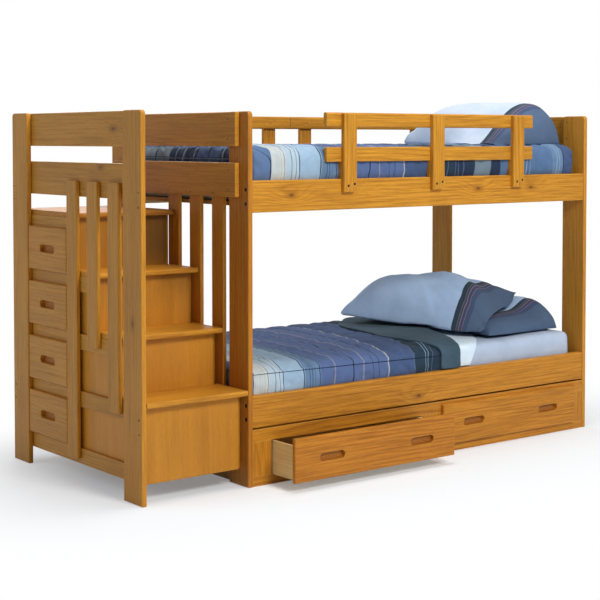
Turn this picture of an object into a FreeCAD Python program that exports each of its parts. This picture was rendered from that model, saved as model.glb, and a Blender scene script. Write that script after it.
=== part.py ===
import FreeCAD, Part
import os

# Twin-over-twin bunk bed with a storage staircase at its left end and two
# storage drawers under the lower bunk. Millimetres, +Z up, -Y is the front.
# The model is laid out from its front left bottom corner: X runs to the right
# from the outer face of the stair-end posts, Y runs back from the fronts of
# the posts. It is then moved so that the origin lies at the bottom centre.

Vector = FreeCAD.Vector
X_AXIS = Vector(1, 0, 0)
Y_AXIS = Vector(0, 1, 0)
Z_AXIS = Vector(0, 0, 1)

# ---------------------------------------------------------------- timber
board_t = 22.0            # thickness of posts, end rails and guard timber
edge_ease = 4.0           # eased edges of the boards
post_w = 138.0
post_h = 1525.0
post_corner_r = 16.0
side_rail_t = 36.0
side_rail_h = 130.0
rail_inset = 3.0          # side rails lie this far behind the post edges
end_rail_h = 140.0
end_rail_end_inset = 61.0
end_rail_top_drop = 2.0   # top end rail below the top of the posts
end_rail_gap = 66.0

# ---------------------------------------------------------------- bed
bed_clear_len = 1988.0    # between the end posts
bed_depth = 1081.0        # across the posts
lower_rail_z = 240.0
upper_rail_drop = 410.0   # its lower edge below the top of the posts
ledger_h = 22.0
ledger_w = 22.0
bed_slat_t = 18.0
bed_slat_w = 70.0
bed_slat_ease = 2.0
bed_slat_count = 13
bed_slat_end_gap = 30.0
bed_slat_play = 1.5

# ---------------------------------------------------------------- stairs
stair_clear = 480.0       # between the stair-end posts and the bed posts
stair_base_z = 74.0       # underside of the stair unit
landing_drop = 7.0        # landing below the lower edge of the upper side rail
step_depth = 180.0
step_count = 4            # three treads and the landing
tread_t = 22.0
tread_side_gap = 2.5
tread_nose_r = 8.0
riser_t = 19.0
riser_setback = 40.0      # riser face behind the nosing above it
frame_rail_h = 64.0
frame_rear_inset = 22.0   # stair unit in front of the rear post edges
front_stile_w = 60.0
drawer_stile_w = 40.0
rear_stile_lap = 20.0     # rear stile shows this far in front of the post
side_panel_t = 6.0
side_panel_recess = 12.0
inner_panel_setback = 21.0
back_panel_t = 6.0
runner_w = 28.0
runner_h = 22.0
runner_under = 8.0        # runner reaches this far outside the drawer opening

# ---------------------------------------------------------------- end slats
end_slat_w = 84.0
end_slat_t = 18.0
end_slat_gap = 84.0
end_slat_top_lap = 65.0
end_slat_foot = 21.0      # foot above the lower edge of its frame rail
end_slat_rails = (1, 2, 0)   # frame rail that each slat stands on, front first

# ---------------------------------------------------------------- drawers
drawer_front_t = 19.0
drawer_front_r = 6.0
drawer_side_t = 12.0
drawer_bottom_t = 6.0
drawer_bottom_up = 8.0
runner_play = 0.3         # drawer sides above their runners
slot_len = 133.0
slot_h = 34.0
slot_rim_r = 1.5
stair_box_len = 410.0
stair_box_head_gap = 23.0
stair_box_play = 1.5
stair_front_overlay = 18.0
stair_front_sill_gap = 6.0
front_post_gap = 2.0

# ---------------------------------------------------------------- underbed unit
unit_side_gap = 0.8
unit_top_gap = 7.0
unit_depth = 554.0
unit_stile_w = 94.0
unit_mid_stile_w = 146.0
unit_sill_h = 40.0
unit_head_h = 51.0
unit_panel_t = 16.0
unit_front_overlay = 24.0
unit_front_h = 180.0
unit_front_drop = 2.0
unit_box_len = 480.0
unit_box_play = 7.0
unit_box_head_gap = 4.0
unit_slot_offset = 246.0
left_drawer_open = 174.0  # the left drawer stands open by this much

# ---------------------------------------------------------------- guards
guard_rail_h = 62.0
guard_block_h = 72.0
guard_gap = 84.0
guard_top_r = 9.5
front_guard_len = 1244.0
front_guard_mid_x = 1006.0   # its middle from the left end of the side rail
support_w = 70.0
support_pitch = 509.0
support_drop = 56.0       # supports reach down over the side rail
support_top_drop = 4.0
support_foot_r = 22.0
rear_guard_end_gap = 5.0
rear_guard_joint = 3.0
rear_support_inset = 113.0

# ---------------------------------------------------------------- fasteners
rail_bolt_y = 21.0        # bolt line behind the post edge
rail_bolt_spread = 57.0
rail_bolt_r = 4.0
rail_bolt_len = 62.0
rail_bolt_head_r = 8.0
rail_bolt_head_t = 6.0
post_hole_r = 5.0
counterbore_r = 10.5
counterbore_depth = 8.0
nut_r = 7.0
nut_len = 28.0
nut_from_end = 42.0
bolt_play = 0.2
guard_bolt_r = 3.5
guard_bolt_head_r = 6.0
guard_bolt_head_t = 5.0
guard_bolt_len = 42.0
guard_bolt_left = 12.0
guard_bolt_right = 22.0
guard_bolt_up = 26.0      # left bolt above the foot of its support
guard_bolt_step = 7.0     # right bolt above the left one
screw_r = 2.3
screw_len = 33.0
screw_head_r = 4.5
screw_head_t = 3.0
screw_recess = 1.5
screw_play = 0.1
end_screw_y = 116.0
end_screw_spread = 80.0
slat_screw_up = 14.0
stair_screw_y = 90.0
stair_screw_rear = 70.0
guard_screw_spread = 26.0

# ---------------------------------------------------------------- bedding
mattress_t = 190.0
mattress_side_gap = 6.5
mattress_foot_gap = 25.0
mattress_head_gap = 58.0
mattress_r = 30.0
cover_side = 14.0
cover_end = 20.0
cover_r = 12.0
cover_play = 0.3
upper_cover_t = 35.0
lower_cover_t = 22.0
lower_cover_len = 1111.0
fold_len = 92.0
fold_t = 32.0
sheet_len = 110.0
sheet_t = 5.0
sheet_r = 2.0
pillow_len = 690.0
pillow_w = 480.0
pillow_t = 140.0
pillow_r = 58.0
upper_pillow_t = 208.0
pillow_front_y = 100.0
pillow_head_gap = 14.0    # pillow from the head end of the mattress
top_pillow_turn = 22.8    # degrees
top_pillow_shift_x = -223.0
top_pillow_shift_y = 88.0

# ---------------------------------------------------------------- places
x_stair_in = board_t
x_bed_out = x_stair_in + stair_clear
x_bed_in = x_bed_out + board_t
x_right_in = x_bed_in + bed_clear_len
x_right_out = x_right_in + board_t
x_end = x_right_out + board_t

rail_front_y = rail_inset + side_rail_t
rail_rear_y = bed_depth - rail_front_y
upper_rail_z = post_h - upper_rail_drop
upper_rail_top = upper_rail_z + side_rail_h

top_end_rail_z = post_h - end_rail_top_drop - end_rail_h
mid_end_rail_z = top_end_rail_z - end_rail_gap - end_rail_h
end_rail_len = bed_depth - 2 * end_rail_end_inset

landing_top = upper_rail_z - landing_drop
step_height = (landing_top - tread_t - frame_rail_h - stair_base_z) / step_count
x_frame_in = x_stair_in + board_t
x_panel_out = x_bed_out - board_t
frame_rear_y = bed_depth - frame_rear_inset
drawer_stile_y = riser_setback + (step_count - 1) * step_depth
drawer_open_y0 = drawer_stile_y + drawer_stile_w
drawer_open_y1 = bed_depth - post_w - rear_stile_lap
drawer_open_h = step_height - frame_rail_h
stair_box_h = drawer_open_h - stair_box_head_gap
stair_front_y0 = drawer_open_y0 - stair_front_overlay
stair_front_y1 = bed_depth - post_w - front_post_gap

unit_x0 = x_bed_in + unit_side_gap
unit_x1 = x_right_in - unit_side_gap
unit_mid_x = (unit_x0 + unit_x1) / 2
unit_h = lower_rail_z - unit_top_gap
unit_open_w = (unit_x1 - unit_x0 - unit_mid_stile_w) / 2 - unit_stile_w
unit_open_x = (unit_x0 + unit_stile_w, unit_mid_x + unit_mid_stile_w / 2)
unit_inner_y = rail_inset + board_t
unit_rear_y = rail_inset + unit_depth
unit_front_y = rail_inset - drawer_front_t

guard_inner_y = rail_inset + board_t
guard_low_z = upper_rail_top + guard_block_h
guard_top_z = guard_low_z + guard_rail_h + guard_gap
support_z0 = upper_rail_top - support_drop
support_z1 = guard_top_z + guard_rail_h - support_top_drop
front_guard_x = x_bed_in + front_guard_mid_x

mattress_x0 = x_bed_in + mattress_foot_gap
mattress_len = bed_clear_len - mattress_foot_gap - mattress_head_gap
mattress_y0 = rail_front_y + mattress_side_gap
mattress_w = bed_depth - 2 * mattress_y0

y_front_most = unit_front_y - left_drawer_open
y_rear_most = bed_depth - rail_inset + board_t
origin = Vector(-x_end / 2, -(y_front_most + y_rear_most) / 2, 0)


def frame_rail_z(level):
    """Lower edge of the stair frame rail of a level, 0 at the floor."""
    return stair_base_z + level * step_height


def frame_rail_top(level):
    return frame_rail_z(level) + frame_rail_h


def riser_y(step):
    """Front face of the riser under a step, 1 to 4."""
    return riser_setback + (step - 1) * step_depth


def mattress_z(rail_z):
    return rail_z + ledger_h + bed_slat_t


# ---------------------------------------------------------------- shapes
def box(x, y, z, dx, dy, dz):
    return Part.makeBox(dx, dy, dz, Vector(x, y, z))


def board(x, y, z, dx, dy, dz, ease=edge_ease):
    """A board with all of its edges eased."""
    solid = box(x, y, z, dx, dy, dz)
    radius = min(ease, 0.4 * min(dx, dy, dz))
    return solid.makeFillet(radius, solid.Edges)


def along(edge, axis):
    """True for a straight edge that runs along an axis."""
    if len(edge.Vertexes) != 2:
        return False
    run = edge.Vertexes[1].Point.sub(edge.Vertexes[0].Point)
    return run.Length > 0 and abs(abs(run.dot(axis)) - run.Length) < 1e-6


def ease_faces(solid, axis, levels, radius):
    """Ease the outline of the faces that lie at the given levels on an axis."""
    picked = []
    for edge in solid.Edges:
        low = min(vertex.Point.dot(axis) for vertex in edge.Vertexes)
        high = max(vertex.Point.dot(axis) for vertex in edge.Vertexes)
        for level in levels:
            if abs(low - level) < 1e-6 and abs(high - level) < 1e-6:
                picked.append(edge)
    return solid.makeFillet(radius, picked)


def rod(x, y, z, direction, radius, length):
    return Part.makeCylinder(radius, length, Vector(x, y, z), direction)


def mirror_rear(solid):
    """The same piece on the rear side of the bed."""
    return solid.mirror(Vector(0, bed_depth / 2, 0), Y_AXIS)


def drill(solid, holes):
    """Cut the holes that reach into the solid."""
    near = [hole for hole in holes if hole.BoundBox.intersect(solid.BoundBox)]
    if not near:
        return solid
    return solid.cut(Part.makeCompound(near))


def stadium(length, height, depth):
    """A slot tool with round ends: long along X, cut along Y, centred on Z."""
    radius = height / 2
    half = length / 2 - radius
    middle = box(-half, 0, -radius, 2 * half, depth, height)
    left = rod(-half, 0, 0, Y_AXIS, radius, depth)
    right = rod(half, 0, 0, Y_AXIS, radius, depth)
    return middle.fuse([left, right])


# ---------------------------------------------------------------- fasteners
def screw(x, y, z, direction):
    """A wood screw; the point lies on the face that it enters."""
    seat = Vector(x, y, z) + direction * screw_recess
    head = Part.makeCylinder(screw_head_r, screw_head_t, seat, direction)
    shank = Part.makeCylinder(screw_r, screw_len, seat, direction)
    return head.fuse(shank)


def screw_hole(x, y, z, direction):
    point = Vector(x, y, z)
    mouth_depth = screw_recess + screw_head_t
    mouth = Part.makeCylinder(screw_head_r + screw_play, mouth_depth, point, direction)
    pilot_depth = screw_recess + screw_len + screw_play
    pilot = Part.makeCylinder(screw_r + screw_play, pilot_depth, point, direction)
    return mouth.fuse(pilot)


def rail_bolt_heights(rail_z):
    middle = rail_z + side_rail_h / 2
    return (middle - rail_bolt_spread / 2, middle + rail_bolt_spread / 2)


def rail_bolt(x, y, z, direction):
    """A bolt that enters a post at x and runs into the end of a side rail."""
    seat = x + direction.x * (counterbore_depth - rail_bolt_head_t)
    head = rod(seat, y, z, direction, rail_bolt_head_r, rail_bolt_head_t)
    shank = rod(seat, y, z, direction, rail_bolt_r, rail_bolt_head_t + rail_bolt_len)
    return head.fuse(shank)


def rail_bolt_hole(x, y, z, direction):
    depth = counterbore_depth + rail_bolt_len + bolt_play
    mouth = rod(x, y, z, direction, counterbore_r, counterbore_depth)
    bore = rod(x, y, z, direction, rail_bolt_r + bolt_play, depth)
    return mouth.fuse(bore)


def nut_place(x, direction):
    """Centre line of a barrel nut, from the outer face of the post."""
    return x + direction.x * (board_t + nut_from_end)


def barrel_nut(x, y, z, direction):
    across = nut_place(x, direction)
    nut = rod(across, y - nut_len / 2, z, Y_AXIS, nut_r, nut_len)
    bore = rod(across - 2 * nut_r, y, z, X_AXIS, rail_bolt_r + bolt_play, 4 * nut_r)
    return nut.cut(bore)


def nut_pocket(x, y, z, direction):
    """The nut's pocket opens on the inner face of the rail."""
    across = nut_place(x, direction)
    if y < bed_depth / 2:
        start = y - nut_len / 2 - bolt_play
        length = rail_front_y - start
    else:
        start = rail_rear_y
        length = y + nut_len / 2 + bolt_play - start
    return rod(across, start, z, Y_AXIS, nut_r + bolt_play, length)


def guard_bolt(x, z):
    start = rail_inset - board_t + counterbore_depth - guard_bolt_head_t
    head = rod(x, start, z, Y_AXIS, guard_bolt_head_r, guard_bolt_head_t)
    shank = rod(x, start, z, Y_AXIS, guard_bolt_r, guard_bolt_head_t + guard_bolt_len)
    return head.fuse(shank)


def guard_bolt_hole(x, z):
    start = rail_inset - board_t
    mouth_r = guard_bolt_head_r + bolt_play
    mouth = rod(x, start, z, Y_AXIS, mouth_r, counterbore_depth)
    depth = counterbore_depth + guard_bolt_len + bolt_play
    bore = rod(x, start, z, Y_AXIS, guard_bolt_r + bolt_play, depth)
    return mouth.fuse(bore)


rail_bolt_places = []
for bolt_rail_z in (lower_rail_z, upper_rail_z):
    for bolt_z in rail_bolt_heights(bolt_rail_z):
        for bolt_y in (rail_bolt_y, bed_depth - rail_bolt_y):
            rail_bolt_places.append((x_bed_out, bolt_y, bolt_z, X_AXIS))
            rail_bolt_places.append((x_right_out, bolt_y, bolt_z, X_AXIS * -1))

rail_bolt_holes = [rail_bolt_hole(*place) for place in rail_bolt_places]
nut_pockets = [nut_pocket(*place) for place in rail_bolt_places]

end_screw_places = []
for screw_y in (end_screw_y, bed_depth - end_screw_y):
    for offset in (-end_screw_spread / 2, end_screw_spread / 2):
        for end_z in (top_end_rail_z, mid_end_rail_z, lower_rail_z):
            screw_z = end_z + end_rail_h / 2 + offset
            end_screw_places.append((x_right_in, screw_y, screw_z, X_AXIS))
            if end_z != lower_rail_z:
                end_screw_places.append((x_panel_out, screw_y, screw_z, X_AXIS))
                end_screw_places.append((x_frame_in, screw_y, screw_z, X_AXIS * -1))

front_support_x = []
for index in (-1, 0, 1):
    front_support_x.append(front_guard_x + index * support_pitch)

rear_section_len = (bed_clear_len - 2 * rear_guard_end_gap - rear_guard_joint) / 2
rear_section_x = (x_bed_in + rear_guard_end_gap,
                  x_right_in - rear_guard_end_gap - rear_section_len)
rear_support_x = []
for section_x in rear_section_x:
    rear_support_x.append(section_x + rear_support_inset)
    rear_support_x.append(section_x + rear_section_len - rear_support_inset)


def guard_bolt_places(support_x):
    places = []
    for middle in support_x:
        low = support_z0 + guard_bolt_up
        places.append((middle - guard_bolt_left, low))
        places.append((middle + guard_bolt_right, low + guard_bolt_step))
    return places


def guard_screw_places(support_x):
    """Screws through the guard rails and blocks into the supports, from inside."""
    places = []
    for middle in support_x:
        for low_z in (guard_low_z, guard_top_z):
            half = guard_screw_spread / 2
            z = low_z + guard_rail_h / 2
            places.append((middle - half, guard_inner_y, z - half / 2, Y_AXIS * -1))
            places.append((middle + half, guard_inner_y, z + half / 2, Y_AXIS * -1))
        z = upper_rail_top + guard_block_h / 2
        places.append((middle, guard_inner_y, z, Y_AXIS * -1))
    return places


end_slat_y = []
for index in range(3):
    rear_slat_y = stair_front_y0 - front_post_gap - end_slat_w
    end_slat_y.append(rear_slat_y - (2 - index) * (end_slat_w + end_slat_gap))

stair_screw_places = []
for slat_y, level in zip(end_slat_y, end_slat_rails):
    screw_y = slat_y + end_slat_w / 2
    foot_z = frame_rail_z(level) + end_slat_foot + slat_screw_up
    for screw_z in (mid_end_rail_z + slat_screw_up, foot_z):
        stair_screw_places.append((x_frame_in, screw_y, screw_z, X_AXIS * -1))
        stair_screw_places.append((x_panel_out, screw_y, screw_z, X_AXIS))
for screw_y, levels in ((stair_screw_y, (0, 1)),
                        (bed_depth - stair_screw_rear, (0, 2, 4))):
    for level in levels:
        screw_z = frame_rail_z(level) + frame_rail_h / 2
        stair_screw_places.append((x_frame_in, screw_y, screw_z, X_AXIS * -1))
        stair_screw_places.append((x_panel_out, screw_y, screw_z, X_AXIS))

end_screw_holes = [screw_hole(*place) for place in end_screw_places]
stair_screw_holes = [screw_hole(*place) for place in stair_screw_places]
wood_holes = rail_bolt_holes + end_screw_holes + stair_screw_holes


# ---------------------------------------------------------------- bed frame
def post(x, y):
    """A flat post with rounded top corners and eased edges."""
    solid = box(x, y, 0, board_t, post_w, post_h)
    corners = []
    for edge in solid.Edges:
        if along(edge, X_AXIS) and edge.Vertexes[0].Z > post_h / 2:
            corners.append(edge)
    solid = solid.makeFillet(post_corner_r, corners)
    return ease_faces(solid, X_AXIS, (x, x + board_t), edge_ease)


def stair_post(y, hole_y):
    """Stair-end post: its rail bolt holes are open."""
    holes = []
    for rail_z in (lower_rail_z, upper_rail_z):
        for z in rail_bolt_heights(rail_z):
            holes.append(rod(0, hole_y, z, X_AXIS, post_hole_r, board_t))
    return drill(post(0, y), holes + wood_holes)


def bed_post(x, y):
    return drill(post(x, y), wood_holes)


def side_rail(rail_z):
    rail = board(x_bed_in, rail_inset, rail_z, bed_clear_len, side_rail_t, side_rail_h)
    bolts = [guard_bolt_hole(*place) for place in guard_bolt_places(front_support_x)]
    return drill(rail, rail_bolt_holes + nut_pockets + bolts)


def rear_side_rail(rail_z):
    rail = board(x_bed_in, rail_rear_y, rail_z, bed_clear_len, side_rail_t, side_rail_h)
    bolts = [mirror_rear(guard_bolt_hole(*place))
             for place in guard_bolt_places(rear_support_x)]
    return drill(rail, rail_bolt_holes + nut_pockets + bolts)


def end_rails(x, heights):
    rails = []
    for z in heights:
        rail = board(x, end_rail_end_inset, z, board_t, end_rail_len, end_rail_h)
        rails.append(drill(rail, wood_holes))
    return rails


def end_slats(x):
    slats = []
    top = mid_end_rail_z + end_slat_top_lap
    for y, level in zip(end_slat_y, end_slat_rails):
        foot = frame_rail_z(level) + end_slat_foot
        slat = board(x, y, foot, end_slat_t, end_slat_w, top - foot)
        slats.append(drill(slat, wood_holes))
    return slats


def ledgers():
    cleats = []
    for rail_z in (lower_rail_z, upper_rail_z):
        for y in (rail_front_y, rail_rear_y - ledger_w):
            cleats.append(box(x_bed_in, y, rail_z, bed_clear_len, ledger_w, ledger_h))
    return cleats


def bed_slats(rail_z):
    slats = []
    first = x_bed_in + bed_slat_end_gap
    last = x_right_in - bed_slat_end_gap - bed_slat_w
    pitch = (last - first) / (bed_slat_count - 1)
    y = rail_front_y + bed_slat_play
    length = rail_rear_y - rail_front_y - 2 * bed_slat_play
    for index in range(bed_slat_count):
        x = first + index * pitch
        slats.append(board(x, y, rail_z + ledger_h, bed_slat_w, length, bed_slat_t,
                           bed_slat_ease))
    return slats


# ---------------------------------------------------------------- stair unit
def stair_outer_frame():
    """Rails and stiles of the stair side that carries the drawers."""
    pieces = []
    x = x_stair_in
    for level in range(step_count + 1):
        y = riser_y(max(level, 1))
        z = frame_rail_z(level)
        pieces.append(box(x, y, z, board_t, frame_rear_y - y, frame_rail_h))
    for level in range(step_count):
        z = frame_rail_top(level)
        pieces.append(box(x, drawer_stile_y, z, board_t, drawer_stile_w, drawer_open_h))
        rear_w = frame_rear_y - drawer_open_y1
        pieces.append(box(x, drawer_open_y1, z, board_t, rear_w, drawer_open_h))
        if level < step_count - 1:
            y = riser_y(level + 1)
            pieces.append(box(x, y, z, board_t, front_stile_w, drawer_open_h))
    return [drill(piece, wood_holes) for piece in pieces]


def stair_side_panels():
    """Thin panels between the rails, in front of the drawers."""
    panels = []
    x = x_stair_in + side_panel_recess
    for level in range(step_count - 1):
        y = riser_y(level + 1) + front_stile_w
        length = drawer_stile_y - y
        z = frame_rail_top(level)
        panels.append(box(x, y, z, side_panel_t, length, drawer_open_h))
    return panels


def stair_inner_panel():
    """Stepped panel against the bed posts; its steps carry the treads."""
    corner_y = inner_panel_setback + riser_y(1)
    points = [Vector(x_panel_out, corner_y, stair_base_z)]
    for step in range(1, step_count + 1):
        y = inner_panel_setback + riser_y(step)
        if step > 1:
            points.append(Vector(x_panel_out, y, frame_rail_top(step - 1)))
        points.append(Vector(x_panel_out, y, frame_rail_top(step)))
    points.append(Vector(x_panel_out, frame_rear_y, frame_rail_top(step_count)))
    points.append(Vector(x_panel_out, frame_rear_y, stair_base_z))
    points.append(points[0])
    face = Part.Face(Part.makePolygon(points))
    return drill(face.extrude(X_AXIS * board_t), wood_holes)


def tread(step, y_rear):
    """A tread with a rounded nosing, from its nosing to y_rear."""
    x = x_stair_in + tread_side_gap
    y = (step - 1) * step_depth
    z = frame_rail_top(step)
    width = stair_clear - 2 * tread_side_gap
    solid = box(x, y, z, width, y_rear - y, tread_t)
    nose = [edge for edge in solid.Edges
            if along(edge, X_AXIS) and edge.Vertexes[0].Y < y + 1]
    return solid.makeFillet(min(tread_nose_r, 0.45 * tread_t), nose)


def stair_treads():
    return [tread(step, riser_y(step + 1)) for step in range(1, step_count)]


def stair_landing():
    return tread(step_count, frame_rear_y + back_panel_t)


def stair_risers():
    risers = []
    for step in range(1, step_count + 1):
        z = stair_base_z if step == 1 else frame_rail_top(step - 1)
        width = x_panel_out - x_frame_in
        height = frame_rail_top(step) - z
        risers.append(box(x_frame_in, riser_y(step), z, width, riser_t, height))
    return risers


def stair_back_panel():
    height = frame_rail_top(step_count) - stair_base_z
    return box(x_stair_in, frame_rear_y, stair_base_z, stair_clear, back_panel_t, height)


def stair_runners():
    """Two battens for each stair drawer, from the outer to the inner side."""
    battens = []
    width = x_panel_out - x_frame_in
    for level in range(step_count):
        z = frame_rail_top(level) - runner_h
        for y in (drawer_open_y0 - runner_under,
                  drawer_open_y1 + runner_under - runner_w):
            battens.append(box(x_frame_in, y, z, width, runner_w, runner_h))
    return battens


# ---------------------------------------------------------------- drawers
def drawer_box(width, depth, height):
    """Sides, sub-front, back and bottom; front at y 0, width along X."""
    t = drawer_side_t
    inner = width - 2 * t
    return [
        box(0, 0, 0, t, depth, height),
        box(width - t, 0, 0, t, depth, height),
        box(t, 0, 0, inner, t, height),
        box(t, depth - t, 0, inner, t, height),
        box(t, t, drawer_bottom_up, inner, depth - 2 * t, drawer_bottom_t),
    ]


def drawer_front(width, height, slot_places):
    """Front board with routed finger slots; its face lies at y 0."""
    solid = box(0, 0, 0, width, drawer_front_t, height)
    solid = ease_faces(solid, Y_AXIS, (0,), drawer_front_r)
    for place in slot_places:
        tool = stadium(slot_len, slot_h, drawer_front_t)
        tool.translate(Vector(place, 0, height / 2))
        solid = solid.cut(tool)
    rims = []
    for edge in solid.Edges:
        bounds = edge.BoundBox
        on_face = bounds.YMax < 1e-6
        inside = bounds.XMin > drawer_front_r + 1 and bounds.XMax < width - drawer_front_r - 1
        level = bounds.ZMin > drawer_front_r + 1 and bounds.ZMax < height - drawer_front_r - 1
        if on_face and inside and level:
            rims.append(edge)
    return solid.makeFillet(slot_rim_r, rims)


def turn_to_side(shape, x, y, z, width):
    """Turn a piece that faces -Y so that it faces -X, and place it."""
    turned = shape.copy()
    turned.rotate(Vector(0, 0, 0), Z_AXIS, -90)
    turned.translate(Vector(x, y + width, z))
    return turned


def stair_drawer_front(level):
    width = stair_front_y1 - stair_front_y0
    height = drawer_open_h - stair_front_sill_gap + stair_front_overlay
    front = drawer_front(width, height, (width / 2,))
    z = frame_rail_top(level) + stair_front_sill_gap
    return turn_to_side(front, x_stair_in - drawer_front_t, stair_front_y0, z, width)


def stair_drawer_box(level):
    width = drawer_open_y1 - drawer_open_y0 - 2 * stair_box_play
    z = frame_rail_top(level) + runner_play
    y = drawer_open_y0 + stair_box_play
    pieces = drawer_box(width, stair_box_len, stair_box_h)
    return [turn_to_side(piece, x_stair_in, y, z, width) for piece in pieces]


def unit_drawer_front(open_x, opened):
    width = unit_open_w + 2 * unit_front_overlay
    middle = width / 2
    front = drawer_front(width, unit_front_h,
                         (middle - unit_slot_offset, middle + unit_slot_offset))
    z = unit_sill_h - unit_front_drop
    front.translate(Vector(open_x - unit_front_overlay, unit_front_y - opened, z))
    return front


def unit_drawer_box(open_x, opened):
    width = unit_open_w - 2 * unit_box_play
    height = unit_h - unit_head_h - unit_sill_h - unit_box_head_gap
    pieces = drawer_box(width, unit_box_len, height)
    place = Vector(open_x + unit_box_play, rail_inset - opened, unit_sill_h + runner_play)
    for piece in pieces:
        piece.translate(place)
    return pieces


# ---------------------------------------------------------------- underbed unit
def unit_face_frame():
    length = unit_x1 - unit_x0
    y = rail_inset
    head_z = unit_h - unit_head_h
    stile_h = head_z - unit_sill_h
    return [
        box(unit_x0, y, 0, length, board_t, unit_sill_h),
        box(unit_x0, y, head_z, length, board_t, unit_head_h),
        box(unit_x0, y, unit_sill_h, unit_stile_w, board_t, stile_h),
        box(unit_open_x[0] + unit_open_w, y, unit_sill_h, unit_mid_stile_w, board_t, stile_h),
        box(unit_x1 - unit_stile_w, y, unit_sill_h, unit_stile_w, board_t, stile_h),
    ]


def unit_carcass():
    """Two ends, a divider and a back board behind the face frame."""
    t = unit_panel_t
    depth = unit_rear_y - unit_inner_y
    panels = []
    for x in (unit_x0, unit_x1 - t):
        panels.append(box(x, unit_inner_y, 0, t, depth, unit_h))
    length = unit_x1 - unit_x0 - 2 * t
    panels.append(box(unit_x0 + t, unit_rear_y - t, 0, length, t, unit_h))
    panels.append(box(unit_mid_x - t / 2, unit_inner_y, 0, t, depth - t, unit_h))
    return panels


def unit_runners():
    battens = []
    length = unit_rear_y - unit_panel_t - unit_inner_y
    for open_x in unit_open_x:
        for x in (open_x, open_x + unit_open_w - runner_w):
            z = unit_sill_h - runner_h
            battens.append(box(x, unit_inner_y, z, runner_w, length, runner_h))
    return battens


# ---------------------------------------------------------------- guards
def guard_support(middle):
    """Upright of the guard, with one well rounded lower corner."""
    y = rail_inset - board_t
    x = middle - support_w / 2
    solid = box(x, y, support_z0, support_w, board_t, support_z1 - support_z0)
    foot = [edge for edge in solid.Edges
            if along(edge, Y_AXIS) and edge.Vertexes[0].Z < support_z0 + 1
            and edge.Vertexes[0].X > middle]
    solid = solid.makeFillet(support_foot_r, foot)
    solid = ease_faces(solid, Y_AXIS, (y,), edge_ease)
    holes = [guard_bolt_hole(*place) for place in guard_bolt_places((middle,))]
    holes += [screw_hole(*place) for place in guard_screw_places((middle,))]
    return drill(solid, holes)


def guard_rails(x, length, support_x):
    """Lower rail and round-edged top rail of one guard section."""
    low = board(x, rail_inset, guard_low_z, length, board_t, guard_rail_h)
    top = box(x, rail_inset, guard_top_z, length, board_t, guard_rail_h)
    long_edges = [edge for edge in top.Edges if along(edge, X_AXIS)]
    top = top.makeFillet(min(guard_top_r, 0.45 * board_t), long_edges)
    holes = [screw_hole(*place) for place in guard_screw_places(support_x)]
    return [drill(low, holes), drill(top, holes)]


def guard_block(middle):
    block = box(middle - support_w / 2, rail_inset, upper_rail_top,
                support_w, board_t, guard_block_h)
    return drill(block, [screw_hole(*place) for place in guard_screw_places((middle,))])


def rear_guard_rails():
    rails = []
    for x in rear_section_x:
        near = [middle for middle in rear_support_x if x < middle < x + rear_section_len]
        rails += guard_rails(x, rear_section_len, near)
    return [mirror_rear(rail) for rail in rails]


def guard_blocks():
    front = [guard_block(middle) for middle in front_support_x]
    rear = [mirror_rear(guard_block(middle)) for middle in rear_support_x]
    return front + rear


def guard_bolts():
    front = [guard_bolt(*place) for place in guard_bolt_places(front_support_x)]
    rear = [mirror_rear(guard_bolt(*place)) for place in guard_bolt_places(rear_support_x)]
    return front + rear


def guard_screws():
    front = [screw(*place) for place in guard_screw_places(front_support_x)]
    rear = [mirror_rear(screw(*place)) for place in guard_screw_places(rear_support_x)]
    return front + rear


# ---------------------------------------------------------------- bedding
def soft_box(x, y, z, dx, dy, dz, radius):
    solid = box(x, y, z, dx, dy, dz)
    limit = 0.42 * min(dx, dy, dz)
    return solid.makeFillet(min(radius, limit), solid.Edges)


def mattress(rail_z):
    z = mattress_z(rail_z)
    return soft_box(mattress_x0, mattress_y0, z, mattress_len, mattress_w,
                    mattress_t, mattress_r)


def cover(x0, x1, rail_z, thickness):
    """A cover over the mattress that hangs down to the side rails."""
    foot = rail_z + side_rail_h + cover_play
    top = mattress_z(rail_z) + mattress_t
    outer = soft_box(x0, mattress_y0 - cover_side, foot, x1 - x0,
                     mattress_w + 2 * cover_side, top + thickness - foot, cover_r)
    inner_w = mattress_w + 2 * cover_play
    inner = box(mattress_x0 - cover_play, mattress_y0 - cover_play, foot - 1,
                mattress_len + 2 * cover_play, inner_w, top + cover_play - foot + 1)
    return outer.cut(inner)


def upper_comforter():
    x0 = mattress_x0 - cover_end
    x1 = mattress_x0 + mattress_len + cover_end
    return cover(x0, x1, upper_rail_z, upper_cover_t)


def lower_comforter():
    """Laid over the foot of the lower bunk and folded back on itself."""
    x0 = mattress_x0 - cover_end
    fold_x = x0 + lower_cover_len
    body = cover(x0, fold_x, lower_rail_z, lower_cover_t)
    fold = cover(fold_x - cover_r * 2, fold_x + fold_len, lower_rail_z, fold_t)
    return body.fuse(fold)


def lower_sheet():
    x = mattress_x0 - cover_end + lower_cover_len + fold_len + cover_play
    z = mattress_z(lower_rail_z) + mattress_t
    y = mattress_y0 + mattress_r
    return board(x, y, z, sheet_len, mattress_w - 2 * mattress_r, sheet_t, sheet_r)


def pillow(z, thickness):
    """Pillow laid across the head of a bunk."""
    x = mattress_x0 + mattress_len - pillow_head_gap - pillow_w
    return soft_box(x, pillow_front_y, z, pillow_w, pillow_len, thickness, pillow_r)


def lower_pillow_z():
    return mattress_z(lower_rail_z) + mattress_t + cover_play


def top_pillow():
    """Second pillow of the lower bunk, turned on top of the first."""
    solid = pillow(lower_pillow_z() + pillow_t + cover_play, pillow_t)
    middle = solid.BoundBox.Center
    solid.rotate(middle, Z_AXIS, top_pillow_turn)
    solid.translate(Vector(top_pillow_shift_x, top_pillow_shift_y, 0))
    return solid


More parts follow.
